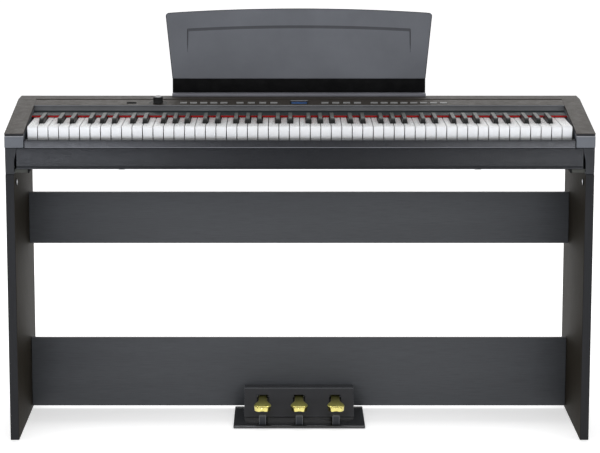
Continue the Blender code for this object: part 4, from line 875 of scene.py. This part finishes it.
def add_control_panel():
    """Shelf, recessed upright face and sloping plate, cut for the controls."""
    near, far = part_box("control_panel")
    wall = 0.0025
    ledge = STAND_TOP + 0.050
    upright = PANEL_FRONT + 0.0026
    rim = slope_z(PANEL_FRONT)
    back = far.y - CREST_GROOVE
    profile = fillet([(near.y, ledge - wall), (near.y, ledge, 0.0010), (upright, ledge + LEDGE_RISE, 0.0012),
                      (upright, rim - 0.0034, 0.0004), (PANEL_FRONT + 0.0002, rim - 0.0030, 0.0004),
                      (PANEL_FRONT, rim, 0.0016), (back, slope_z(back), 0.0008),
                      (back, slope_z(back) - wall), (upright + wall, slope_z(upright + wall) - wall * 1.6),
                      (upright + wall, ledge + LEDGE_RISE - wall)], 6)
    sheet = prism(profile, near.x, far.x, 'X')
    reach = wall * 4
    plan = rounded_plan(POWER_BUTTON[0] + BUTTON_GAP * 2, POWER_BUTTON[1] + BUTTON_GAP * 2, 0.0020)
    holes = [on_panel(prism(plan, -reach, reach, 'Z'), POWER_X)]
    plan = rounded_plan(DISPLAY[0] + 0.0008, DISPLAY[1] + 0.0008, 0.0015)
    holes.append(on_panel(prism([(x, y + DISPLAY_SHIFT) for x, y in plan], -reach, reach, 'Z'), DISPLAY_X))
    for name in ROWS:
        for x in row_places(name):
            plan = rounded_plan(BUTTON[0] + BUTTON_GAP * 2, BUTTON[1] + BUTTON_GAP * 2, 0.0018)
            holes.append(on_panel(prism(plan, -reach, reach, 'Z'), x))
    holes.append(on_panel(prism(circle(KNOB_HOLE, 24), -reach, reach, 'Z'), KNOB_X))
    work = cut_out(sheet, holes)
    item = add_piece("panel_sheet", work, "body_grey", "piano", ["control_panel"])
    # painted light: the upright face takes the lighter grey
    paint(item, "face_grey_painted_light", lambda face: face.normal.y < -0.6 and abs(face.center.y - upright) < 0.004)
    paint(item, "ledge_teal", lambda face: face.center.y < upright - 0.0002 and face.normal.z > 0.5
          and face.center.z < rim - 0.005)


def button_cap(width, length, x):
    """One push button with rounded corners and a slight hollow in its top."""
    under = -0.0030
    work = prism(rounded_plan(width, length, 0.0016), under, BUTTON_PROUD, 'Z')
    top = [face for face in work.faces if face.normal.z > 0.9]
    bmesh.ops.inset_individual(work, faces=top, thickness=0.0009, depth=0.0)
    for face in top:
        for vertex in face.verts:
            vertex.co.z -= 0.0003
    soften(work, 0.0003, 2, lambda edge: all(v.co.z > BUTTON_PROUD - 1e-5 for v in edge.verts))
    return on_panel(work, x)


def add_buttons():
    for name in ROWS:
        caps = [button_cap(*BUTTON, x) for x in row_places(name)]
        span = row_places(name)
        web = rounded_box((span[0] - 0.010, -0.006, -0.0038), (span[-1] + 0.010, 0.006, -0.0029), 0.0002, 1)
        middle = (span[0] + span[-1]) / 2
        web = on_panel(web, middle, Matrix.Translation((-middle, 0, 0)))
        add_piece(name + "_caps", gather(caps + [web]), "button_grey", name, [name])
    web = on_panel(rounded_box((-0.0125, -0.006, -0.0038), (0.0125, 0.006, -0.0029), 0.0002, 1), POWER_X)
    add_piece("power_button_cap", gather([button_cap(*POWER_BUTTON, POWER_X), web]), "grip_black",
              "power_button", ["power_button"])


def flat_mark(width, length, x, along, thickness=0.00008):
    """A printed bar just proud of the panel."""
    work = prism(rounded_plan(width, length, min(width, length) * 0.3), 0.00002, thickness, 'Z')
    return on_panel(work, x, Matrix.Translation((0, along, 0)))


def add_markings():
    """Plain bars over the buttons and scale strokes round the volume knob, in place of wording."""
    above = BUTTON[1] / 2 + 0.0030
    bars = []
    for name in ROWS:
        for x in row_places(name):
            bars.append(flat_mark(0.0100, 0.0013, x, above))
    bars.append(flat_mark(0.0075, 0.0012, POWER_X, above))
    add_piece("panel_bars", gather(bars), "ink_white", "piano")
    strokes = []
    count = 11
    for index in range(count):
        angle = math.radians(-140 + 280 * index / (count - 1))
        stroke = prism(rounded_plan(0.0011, 0.0034, 0.0003), 0.00002, 0.00010, 'Z')
        spin = Matrix.Rotation(-angle, 4, 'Z') @ Matrix.Translation((0, KNOB_RADIUS + 0.0042, 0))
        strokes.append(on_panel(stroke, KNOB_X, spin))
    for side in (-1, 1):
        outer, inner = KNOB_RADIUS + 0.0100, KNOB_RADIUS + 0.0060
        arc = [math.radians(-52 + 104 * step / 16) for step in range(17)]
        plan = [(side * outer * math.cos(a), outer * math.sin(a)) for a in arc]
        plan += [(side * inner * math.cos(a), inner * math.sin(a)) for a in arc[::-1]]
        strokes.append(on_panel(prism(plan, 0.00002, 0.00010, 'Z'), KNOB_X))
    add_piece("knob_scale", gather(strokes), "ink_black", "piano")


def add_knob():
    """Volume knob: ribbed side, dished lighter top and a pointer."""
    radius, top, skirt = KNOB_RADIUS, 0.016, 0.0008
    profile = [(0, top - 0.0006), (radius * 0.62, top - 0.0006), (radius * 0.74, top),
               (radius * 0.86, top - 0.0002),
               (radius * 0.94, top - 0.0012), (radius * 0.955, 0.0135), (radius * 0.99, 0.0032),
               (radius, 0.0026), (radius, skirt), (radius * 0.3, skirt), (radius * 0.26, -0.0060),
               (0, -0.0060)]
    work = turned(profile, 144, 24, 0.0008, (0.0030, 0.0136))
    add_piece("volume_knob_body", on_panel(work, KNOB_X), "key_black",
              "volume_knob", ["volume_knob"])
    cap = turned([(0, top - 0.00035), (radius * 0.58, top - 0.0004), (radius * 0.60, top - 0.0006),
                  (0, top - 0.0007)], 48)
    add_piece("volume_knob_top", on_panel(cap, KNOB_X), "bezel_grey", "volume_knob")
    pointer = rounded_box((-0.0006, radius * 0.20, top - 0.0004), (0.0006, radius * 0.56, top - 0.0001),
                          0.0001, 1)
    add_piece("volume_knob_pointer", on_panel(pointer, KNOB_X), "ink_black", "volume_knob")


def add_display():
    """Bezel with a lighter rear edge round a recessed blue window."""
    width, length = DISPLAY
    shift = Matrix.Translation((0, DISPLAY_SHIFT, 0))
    edge = 0.0030
    outer = prism(rounded_plan(width, length, 0.0015), -0.0050, 0.0010, 'Z')
    window = prism(rounded_plan(width - edge * 2, length - edge * 2, 0.0008), 0.0002, 0.004, 'Z')
    work = soften(cut_out(outer, [window]), 0.0004, 2, lambda e: all(v.co.z > 0.0009 for v in e.verts))
    add_piece("display_bezel", on_panel(work, DISPLAY_X, shift), "key_black", "piano",
              ["display_module"])
    glass = soften(prism(rounded_plan(width - edge * 2 - 0.0003, length - edge * 2 - 0.0003, 0.0008),
                         0.00025, 0.0007, 'Z'), 0.0002, 2)
    add_piece("display_window", on_panel(glass, DISPLAY_X, shift), "glass_blue", "piano")
    rim = prism(rounded_plan(width - 0.002, 0.0030, 0.0008), 0.0009, 0.0016, 'Z')
    rim = soften(rim, 0.0003, 2, lambda e: all(v.co.z > 0.0015 for v in e.verts))
    at_rear = Matrix.Translation((0, length / 2 - 0.0016, 0))
    add_piece("display_rim", on_panel(rim, DISPLAY_X, shift @ at_rear), "bezel_grey", "piano")


REAR_RIM = 0.0085               # band along the back of the top, painted dark as shade
PEG_PLACES = (-0.22, 0.22)      # music rest's pegs, from the middle
PEG_HOLE = 0.0036


def add_rear_cover():
    """Flat strip and rear wall with rounded edges and the music rest's sockets."""
    near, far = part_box("rear_cover")
    wall = 0.0025
    profile = fillet([(near.y + 0.0004, CREST, 0.0008), (far.y - REAR_RIM, CREST), (far.y, CREST, 0.0030),
                      (far.y, near.z + 0.0002, 0.0008), (far.y - wall, near.z + 0.0002),
                      (far.y - wall, CREST - wall, 0.001),
                      (near.y + 0.0004, CREST - wall)], 6)
    sheet = prism(profile, near.x, far.x, 'X')
    peg_y = low("music_rest_grip").y - 0.0100
    holes = [prism(circle(PEG_HOLE, 24, x, peg_y), CREST - 0.01, CREST + 0.01, 'Z') for x in PEG_PLACES]
    for row in range(2):
        for index in range(14):
            slot = rectangle(0.10 + index * 0.012, STAND_TOP + 0.028 + row * 0.016, 0.0035, 0.005)
            holes.append(prism(slot, far.y - 0.006, far.y + 0.004, 'Y'))
    item = add_piece("rear_sheet", cut_out(sheet, holes), "body_grey", "piano", ["rear_cover"])
    # painted shade: the top's back band is painted near black
    paint(item, "edge_painted_shade", lambda face: face.center.y > far.y - REAR_RIM and face.normal.z > 0.1)


def add_rear_jacks():
    """Socket plate with ring nuts and a framed inlet."""
    near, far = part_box("rear_jacks")
    middle = (near.z + far.z) / 2
    centre = (near.x + far.x) / 2
    plate = rounded_box((near.x, far.y - 0.0030, near.z), (far.x, far.y - 0.0002, far.z), 0.0006, 2)
    pitch = 0.026
    cutters = []
    rings = []
    for step in (0.2, 1.2):
        x = centre - pitch * step
        cutters.append(prism(circle(0.0034, 32, x, middle), far.y - 0.006, far.y + 0.002, 'Y'))
        nut = turned([(0.0036, 0.0016), (0.0052, 0.0014), (0.0058, 0.0004), (0.0058, 0), (0.0036, 0),
                      (0.0036, 0.0016)], 32)
        place = Matrix.Translation((x, far.y - 0.0002, middle))
        rings.append(moved(nut, place @ Matrix.Rotation(-math.pi / 2, 4, 'X')))
    inlet = rectangle(centre + pitch, middle, 0.0055, 0.0045)
    cutters.append(prism(inlet, far.y - 0.006, far.y + 0.002, 'Y'))
    add_piece("jack_plate", cut_out(plate, cutters), "pedal_black", "piano")
    add_piece("jack_nuts", gather(rings), "steel", "piano")


# ------------------------------------------------------------------ music rest
REST_FACE = high("music_rest_grip").y + 0.0003
REST_HALF = high("music_rest_grip").x + 0.001
REST_TOP_HALF = high("music_rest").x
REST_TOP = high("music_rest").z
BAND_TOP = high("music_rest_grip").z + 0.004
REST_LEAN = math.radians(16)
REST_THICKNESS = 0.005
REST_ARCH = 0.011
REST_CORNER = 0.008
STEP_BELOW = 0.041              # recess below the rest's top edge
STEP_RUN = 0.0085               # height of the slanting step
STEP_FADE = 0.056               # the recess runs out over this height
STEP_DEPTH = 0.0036
REST_RIM = 0.0014               # rim round the sheet's face, painted dark as shade
STEP_HALF = 0.2660              # recess's side from the middle
STEP_SIDE_RUN = 0.0030


def smooth_share(value):
    value = min(1.0, max(0.0, value))
    return value * value * (3 - 2 * value)


def rest_top_edge(x):
    """Distance up the leaning sheet to its arched top edge with round corners."""
    slant = (REST_TOP - BAND_TOP) / math.cos(REST_LEAN) + 0.0005
    edge = slant - REST_ARCH * (x / REST_TOP_HALF) ** 2
    into_corner = abs(x) - (REST_TOP_HALF - REST_CORNER)
    if into_corner > 0:
        edge -= REST_CORNER - math.sqrt(max(0.0, REST_CORNER ** 2 - into_corner ** 2))
    return edge


def recess_depth(x, below_top):
    into = min(1.0, max(0.0, (below_top - STEP_BELOW) / STEP_RUN))
    down = math.sin(math.pi / 2 * into)
    fade = 1.0 - smooth_share((below_top - STEP_BELOW - STEP_RUN) / STEP_FADE)
    side = smooth_share((STEP_HALF - abs(x)) / STEP_SIDE_RUN)
    return STEP_DEPTH * down * fade * side


def rest_columns():
    """(x at the foot, x at the top) of the sheet's columns, closest at the recess's sides."""
    outer = STEP_HALF + 0.012
    inner = [0.02 * step for step in range(13)] + [0.252, 0.258, 0.2625]
    inner += [STEP_HALF - STEP_SIDE_RUN + 0.0005 * step for step in range(8)] + [STEP_HALF + 0.004, outer]
    columns = [(x, x) for x in inner]
    for share in (0.3, 0.6, 0.85):
        columns.append((outer + (REST_HALF - outer) * share, outer + (REST_TOP_HALF - outer) * share))
    for inset in (0.0016, 0.0008, 0.0003, 0.0001, 0.0):
        columns.append((REST_HALF - inset, REST_TOP_HALF - inset))
    return [(-foot, -top) for foot, top in columns[:0:-1]] + columns


def rest_rows():
    """Distances below the top edge, closest at the step, then shares of what is left."""
    rows = [0.0, REST_RIM, 0.004, 0.012, 0.022, 0.032, 0.038, STEP_BELOW]
    rows += [STEP_BELOW + STEP_RUN * (step / 8) ** 2 for step in range(1, 9)]
    rows += [STEP_BELOW + STEP_RUN + STEP_FADE * step / 7 for step in range(1, 8)]
    return rows


def add_rest_sheet():
    """The leaning sheet: a lofted surface with a stepped recess that fades downwards."""
    slant = (REST_TOP - BAND_TOP) / math.cos(REST_LEAN) + 0.0005
    up = Vector((0, math.sin(REST_LEAN), math.cos(REST_LEAN)))
    inward = Vector((0, math.cos(REST_LEAN), -math.sin(REST_LEAN)))
    foot = Vector((0, REST_FACE, BAND_TOP))
    columns = rest_columns()
    offsets = rest_rows()
    work = bmesh.new()
    faces = ([], [])
    for foot_x, top_x in columns:
        top = rest_top_edge(top_x)
        distances = offsets + [offsets[-1] + (top - offsets[-1]) * step / 5 for step in range(1, 6)]
        for side in (0, 1):
            line = []
            for distance in distances:
                along = top - distance
                x = foot_x + (top_x - foot_x) * along / slant
                depth = recess_depth(x, distance) if side == 0 else REST_THICKNESS
                line.append(work.verts.new(foot + Vector((x, 0, 0)) + up * along + inward * depth))
            faces[side].append(line)
    front, back = faces
    rows = len(front[0])
    for column in range(len(columns) - 1):
        for row in range(rows - 1):
            work.faces.new((front[column][row], front[column][row + 1],
                            front[column + 1][row + 1], front[column + 1][row]))
            work.faces.new((back[column][row], back[column + 1][row],
                            back[column + 1][row + 1], back[column][row + 1]))
        for row in (0, rows - 1):
            work.faces.new((front[column][row], front[column + 1][row],
                            back[column + 1][row], back[column][row]))
    for column in (0, len(columns) - 1):
        for row in range(rows - 1):
            work.faces.new((front[column][row], front[column][row + 1],
                            back[column][row + 1], back[column][row]))
    bmesh.ops.recalc_face_normals(work, faces=work.faces)
    item = add_piece("rest_sheet", work, "rest_grey", "music_rest", ["music_rest"], 50)

    def at_rim(face):
        along = (face.center - foot).dot(up)
        half = REST_HALF + (REST_TOP_HALF - REST_HALF) * along / slant
        return (abs(face.normal.dot(inward)) < 0.5 or rest_top_edge(face.center.x) - along < REST_RIM
                or half - abs(face.center.x) < REST_RIM)

    # painted shade: the sheet's edges and rim are painted near black
    paint(item, "edge_painted_shade", at_rim)
    # painted shade: the recess's slanting step is painted darker
    paint(item, "rest_step_painted_shade", lambda face: abs(face.normal.dot(inward)) < 0.985 and not at_rim(face))


def add_rest_foot():
    """Upright band with its lip, pegs and the black pad on its face."""
    near = low("music_rest")
    lip_front = REST_FACE - 0.023
    base = CREST + 0.0003
    lip_top = base + 0.0075
    profile = fillet([(lip_front, base, 0.0010), (REST_FACE + REST_THICKNESS - 0.0003, base, 0.001),
                      (REST_FACE + REST_THICKNESS - 0.0003, BAND_TOP - 0.0014, 0.0006),
                      (REST_FACE + 0.0004, BAND_TOP - 0.0003, 0.0004), (REST_FACE + 0.0001, lip_top, 0.0008),
                      (lip_front, lip_top, 0.0030)], 5)
    work = soften(prism(profile, -REST_HALF + 0.0003, REST_HALF - 0.0003, 'X'), 0.0008, 2, end_edges('X'))
    pegs = []
    for x in PEG_PLACES:
        peg = turned([(0, lip_top - 0.004), (0.003, lip_top - 0.004), (0.003, near.z + 0.001),
                      (0.002, near.z), (0, near.z)], 24)
        pegs.append(moved(peg, Matrix.Translation((x, REST_FACE - 0.0115, 0))))
    # painted light: the rest's foot and lip take the lighter grey
    add_piece("rest_foot", gather([work] + pegs), "lip_grey_painted_light", "music_rest")
    near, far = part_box("music_rest_grip")
    pad = rounded_box((near.x, near.y, near.z + 0.0002), (far.x, far.y, BAND_TOP - 0.0010), 0.0005, 2)
    add_piece("rest_pad", pad, "grip_black", "music_rest", ["music_rest_grip"])


# ------------------------------------------------------------------ stand
def add_sides():
    """Side panels, supports that widen upwards, flanges and screws."""
    for side, name in ((-1, "left"), (1, "right")):
        near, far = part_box(name + "_side_panel")
        work = rounded_box(near, far, 0.0014, 3)
        item = add_piece(name + "_side_board", work, "board_side_painted_warm_light", "piano",
                         [name + "_side_panel"])
        # painted light: the inner face keeps the warmer copy of the foil, the other faces take the plain foil
        paint(item, "board_edge", lambda face: face.normal.x * side > -0.7)
        add_support(name, side, near, far)
        add_screw(name, side)


def add_support(name, side, panel_near, panel_far):
    near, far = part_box(name + "_support")
    outer = side * max(abs(near.x), abs(far.x))
    waist = side * min(abs(panel_near.x), abs(panel_far.x))
    case = low("bottom_case").z
    inner = side * (high("bottom_case").x + 0.0003)
    bulge = 0.0004
    outline = [(outer - side * bulge, near.z), (outer, near.z + 0.030), (outer, far.z), (inner, far.z)]
    reach = far.z - case
    for step in range(9):
        share = step / 8
        x = inner + (waist - inner) * smooth_share(share * 1.4)
        outline.append((x, far.z - 0.004 - (reach - 0.006) * share))
    outline += [(waist, case - 0.0008), (waist, near.z)]
    work = soften(prism(outline, near.y, far.y, 'Y'), 0.0010, 3, end_edges('Y'))
    add_piece(name + "_support_block", work, "support_grey", "piano", [name + "_support"])
    flange_top = case - 0.0003
    reach_x = side * min(abs(near.x), abs(far.x))
    spans = sorted((reach_x + side * 0.003, waist - side * 0.0004))
    plate = rounded_box((spans[0], near.y + 0.004, flange_top - 0.009), (spans[1], far.y - 0.004, flange_top),
                        0.0012, 3)
    add_piece(name + "_flange", plate, "flange_dark", "piano")
    spans = sorted((reach_x, reach_x + side * 0.0028))
    stop = rounded_box((spans[0], near.y + 0.0035, flange_top - 0.0095),
                       (spans[1], far.y - 0.0035, flange_top), 0.0008, 2)
    add_piece(name + "_flange_end", stop, "grip_black", "piano")


def add_screw(name, side):
    """Domed screw head with a socket."""
    near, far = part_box(name + "_panel_bolt")
    radius = (far.z - near.z) / 2
    inner = min(abs(near.x), abs(far.x))
    length = max(abs(near.x), abs(far.x)) - inner
    face = 0.0025
    profile = [(0, -0.0008), (0.0024, -0.0008), (0.0027, 0.0), (radius * 0.45, 0.0002),
               (radius * 0.80, -0.0003),
               (radius * 0.95, -0.0010), (radius, -0.0018), (radius, -face), (0.003, -face), (0.003, -length),
               (0, -length)]
    turn = Matrix.Rotation(-side * math.pi / 2, 4, 'Y')
    centre = Vector((side * inner, (near.y + far.y) / 2, (near.z + far.z) / 2))
    work = moved(turned(profile, 40), Matrix.Translation(centre) @ turn)
    item = add_piece(name + "_screw", work, "steel", "piano", [name + "_panel_bolt"])
    # painted shade: the outer part of the domed head is painted near black, leaving a light middle
    paint(item, "grip_black", lambda face: math.dist(face.center.yz, centre.yz) > radius * 0.72)


def add_bars():
    for name in ("upper_crossbar", "lower_crossbar"):
        near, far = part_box(name)
        # painted light: the bars take the lighter copy of the foil
        add_piece(name + "_board", rounded_box(near, far, 0.0013, 3), "board_bar_painted_glare", "piano",
                  [name])


# ------------------------------------------------------------------ pedals
PEDALS = ("left_pedal", "middle_pedal", "right_pedal")
AXLE_Y = centre_of("pedal_axle", "y")
AXLE_Z = centre_of("pedal_axle", "z")


def pedal_half_width(reach):
    """Half the pedal's width at a distance from its tip."""
    arm, pad, round_run = 0.0110, 0.0200, 0.024
    if reach < round_run:
        share = 1 - reach / round_run
        return pad * (1 - share ** 2.2) ** 0.5
    share = smooth_share((reach - round_run) / 0.056)
    return pad + (arm - pad) * share


def add_pedal(name):
    """Cast brass pedal: a crowned pad with a thick rounded lip, an arm and a hub."""
    near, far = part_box(name)
    centre = (near.x + far.x) / 2
    tip = near.y
    length = AXLE_Y - tip
    top_tip, top_axle = AXLE_Z + 0.013, AXLE_Z + 0.0075
    lip, arm, lip_run, crown = 0.0125, 0.0050, 0.0170, 0.0012
    stations = [0.0, 0.0002, 0.0006, 0.0012, 0.0020, 0.0032, 0.0045, 0.0060, 0.0080, 0.0105, 0.0135,
                0.0168, 0.0184, 0.0205]
    stations += [0.024 + (length - 0.024) * step / 14 for step in range(15)]
    around = 12
    work = bmesh.new()
    rings = []
    for reach in stations:
        half = max(0.0035, pedal_half_width(max(reach, 0.0002)))
        top = top_tip + (top_axle - top_tip) * reach / length
        drop = lip if reach <= lip_run else arm + (lip - arm) * max(0.0, 1 - (reach - lip_run) / 0.0012)
        front_round = 0.0030 * max(0.0, 1 - reach / 0.0030) ** 2
        ring = []
        for step in range(around + 1):
            share = -1 + 2 * step / around
            fall = crown * share ** 2 + 0.0012 * max(0.0, (abs(share) - 0.8) / 0.2) ** 2
            ring.append(work.verts.new((centre + half * share, tip + reach, top - fall - front_round)))
        bottom = top - drop + front_round * 0.6
        side_inset = 0.0006
        flank, waist = half - side_inset * 0.2, (top + bottom) / 2 - 0.0008
        ring.append(work.verts.new((centre + flank, tip + reach, waist)))
        for step in range(5):
            share = 1 - 2 * step / 4
            ring.append(work.verts.new((centre + (half - side_inset) * share, tip + reach, bottom)))
        ring.append(work.verts.new((centre - flank, tip + reach, waist)))
        rings.append(ring)
    skin(work, rings)
    hub = turned([(0.0033, 0.0107), (0.0062, 0.0107), (0.0070, 0.0099), (0.0070, -0.0099), (0.0062, -0.0107),
                  (0.0033, -0.0107), (0.0033, 0.0107)], 40)
    hub = moved(hub, Matrix.Translation((centre, AXLE_Y, AXLE_Z)) @ Matrix.Rotation(math.pi / 2, 4, 'Y'))
    item = add_piece(name + "_brass", gather([work, hub]), "brass", name, [name], 40)
    # painted reflection: the pedals' top faces take the darker olive copy of the brass
    paint(item, "brass_top_painted_dark_reflection", lambda face: face.normal.z > 0.85 and face.center.y > tip + 0.004)


SLOT_HALF = 0.0140              # cover's slots: half their width
SLOT_BELOW_AXLE = 0.0055
SLOT_ABOVE_AXLE = 0.0115
LUG_THICKNESS = 0.005
LUG_HALF = 0.009
LUG_ABOVE_AXLE = 0.008


def add_pedal_cover():
    """Sheet steel cover with softly bent edges and a slot for each arm."""
    near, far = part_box("pedal_cover")
    base = low("pedal_cover").z
    crown = far.y - (0.033 - 0.0003)
    profile = fillet([(near.y, base, 0.0008), (crown, far.z, 0.0040), (far.y, far.z, 0.0010),
                      (far.y, base)], 6)
    at_end = end_edges('X')
    solid = soften(prism(profile, near.x, far.x, 'X'), 0.0022, 4,
                   lambda edge: at_end(edge) and max(v.co.z for v in edge.verts) > base + 0.002)
    wall = 0.003
    inner = [(near.y + 0.0045, base - 0.002), (near.y + 0.0045, base + 0.0003),
             (crown + 0.0008, far.z - wall), (far.y - wall, far.z - wall), (far.y - wall, base - 0.002)]
    tools = [prism(inner, near.x + wall, far.x - wall, 'X')]
    for name in PEDALS:
        centre = centre_of(name, "x")
        low_edge, high_edge = AXLE_Z - SLOT_BELOW_AXLE, AXLE_Z + SLOT_ABOVE_AXLE
        plan = fillet([(centre + side * SLOT_HALF, z, 0.002) for side, z in
                       ((-1, low_edge), (1, low_edge), (1, high_edge), (-1, high_edge))], 4)
        tools.append(prism(plan, near.y - 0.001, crown, 'Y'))
    work = cut_out(cut_out(solid, tools[:1]), tools[1:])
    item = add_piece("cover_shell", work, "cover_black", "piano", ["pedal_cover"])
    # painted highlight: the cover's bent side edges and top fold are painted light
    paint(item, "edge_painted_highlight", lambda face: face.center.z > base + 0.002 and (0.10 < abs(face.normal.x) < 0.97
          or 0.83 < face.normal.z < 0.985 and face.center.y < crown + 0.004))


def add_pedal_base():
    """Glossy base plate with rounded edges, the stop posts in it and the axle's lugs."""
    near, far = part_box("pedal_base")
    top = 0.007
    plate = rounded_box((near.x, near.y, 0.0), (far.x, far.y, top), 0.0022, 4)
    rail_near, rail_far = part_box("pedal_stop_rail")
    tools = []
    posts = []
    for name in PEDALS:
        centre = centre_of(name, "x")
        tools.append(prism(rectangle(centre, rail_near.y + 0.0055, 0.0083, 0.0056), -0.001, top + 0.01, 'Z'))
        posts.append(rounded_box((centre - 0.008, rail_near.y + 0.001, 0.0006),
                                 (centre + 0.008, rail_near.y + 0.011, rail_far.z), 0.0012, 3))
    add_piece("base_plate", cut_out(plate, tools), "pedal_black", "piano", ["pedal_base"])
    item = add_piece("stop_posts", gather(posts), "rubber_grey", "piano", ["pedal_stop_rail"])
    # painted highlight: the posts' rounded edges keep the light grey, their front faces take the dark grey
    paint(item, "support_grey", lambda face: face.normal.y < -0.98)
    lugs = []
    half = high("pedal_axle").x - LUG_THICKNESS / 2
    pitch = centre_of("right_pedal", "x")
    for x in (-half, -pitch / 2, pitch / 2, half):
        lug = fillet([(AXLE_Y - LUG_HALF, top), (AXLE_Y + LUG_HALF, top),
                      (AXLE_Y + LUG_HALF, AXLE_Z + LUG_ABOVE_AXLE, 0.006),
                      (AXLE_Y - LUG_HALF, AXLE_Z + LUG_ABOVE_AXLE, 0.006)])
        lugs.append(prism(lug, x - LUG_THICKNESS / 2, x + LUG_THICKNESS / 2, 'X'))
    add_piece("axle_lugs", gather(lugs), "pedal_black", "piano")


SPRING_WIRE = 0.0008            # radius of the wire
SPRING_TURNS = 4


def add_pedal_spring(name):
    """Coil spring under a pedal's arm."""
    near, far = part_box(name + "_spring")
    middle = (near + far) / 2
    radius = (far.y - near.y) / 2 - SPRING_WIRE
    low_end, high_end = near.z + SPRING_WIRE, far.z - SPRING_WIRE
    per_turn, around = 24, 8
    count = SPRING_TURNS * per_turn
    work = bmesh.new()
    rings = []
    for step in range(count + 1):
        angle = 2 * math.pi * step / per_turn
        out = Vector((math.cos(angle), math.sin(angle), 0))
        centre = Vector((middle.x, middle.y, low_end + (high_end - low_end) * step / count)) + out * radius
        ring = []
        for part in range(around):
            turn = 2 * math.pi * part / around
            ring.append(work.verts.new(centre + out * (SPRING_WIRE * math.cos(turn))
                                       + Vector((0, 0, SPRING_WIRE * math.sin(turn)))))
        rings.append(ring)
    skin(work, rings)
    item = add_piece(name + "_coil", work, "steel", "piano", [name + "_spring"], 50)
    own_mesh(item)


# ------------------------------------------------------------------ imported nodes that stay
NODE_LOOKS = {
    "bottom_case": "case_grey", "rear_jacks": "pedal_black", "key_frame": "steel", "key_pivot_rod": "steel",
    "contact_board": "board_green", "panel_board": "board_green", "main_board": "board_green",
    "left_speaker": "cone_black", "right_speaker": "cone_black", "pedal_axle": "steel",
}


def finish_nodes():
    """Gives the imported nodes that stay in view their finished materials."""
    for node, look in NODE_LOOKS.items():
        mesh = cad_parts[node].data
        mesh.materials.clear()
        mesh.materials.append(LOOKS[look])


def main():
    add_camera()
    add_stage()
    add_light()
    add_keys()
    add_felt()
    add_end_block("left_end_block", -1)
    add_end_block("right_end_block", 1)
    add_key_slip()
    add_case_front()
    add_control_panel()
    add_buttons()
    add_markings()
    add_knob()
    add_display()
    add_rear_cover()
    add_rear_jacks()
    add_rest_sheet()
    add_rest_foot()
    add_sides()
    add_bars()
    for name in PEDALS:
        add_pedal(name)
        add_pedal_spring(name)
    add_pedal_cover()
    add_pedal_base()
    finish_nodes()


main()
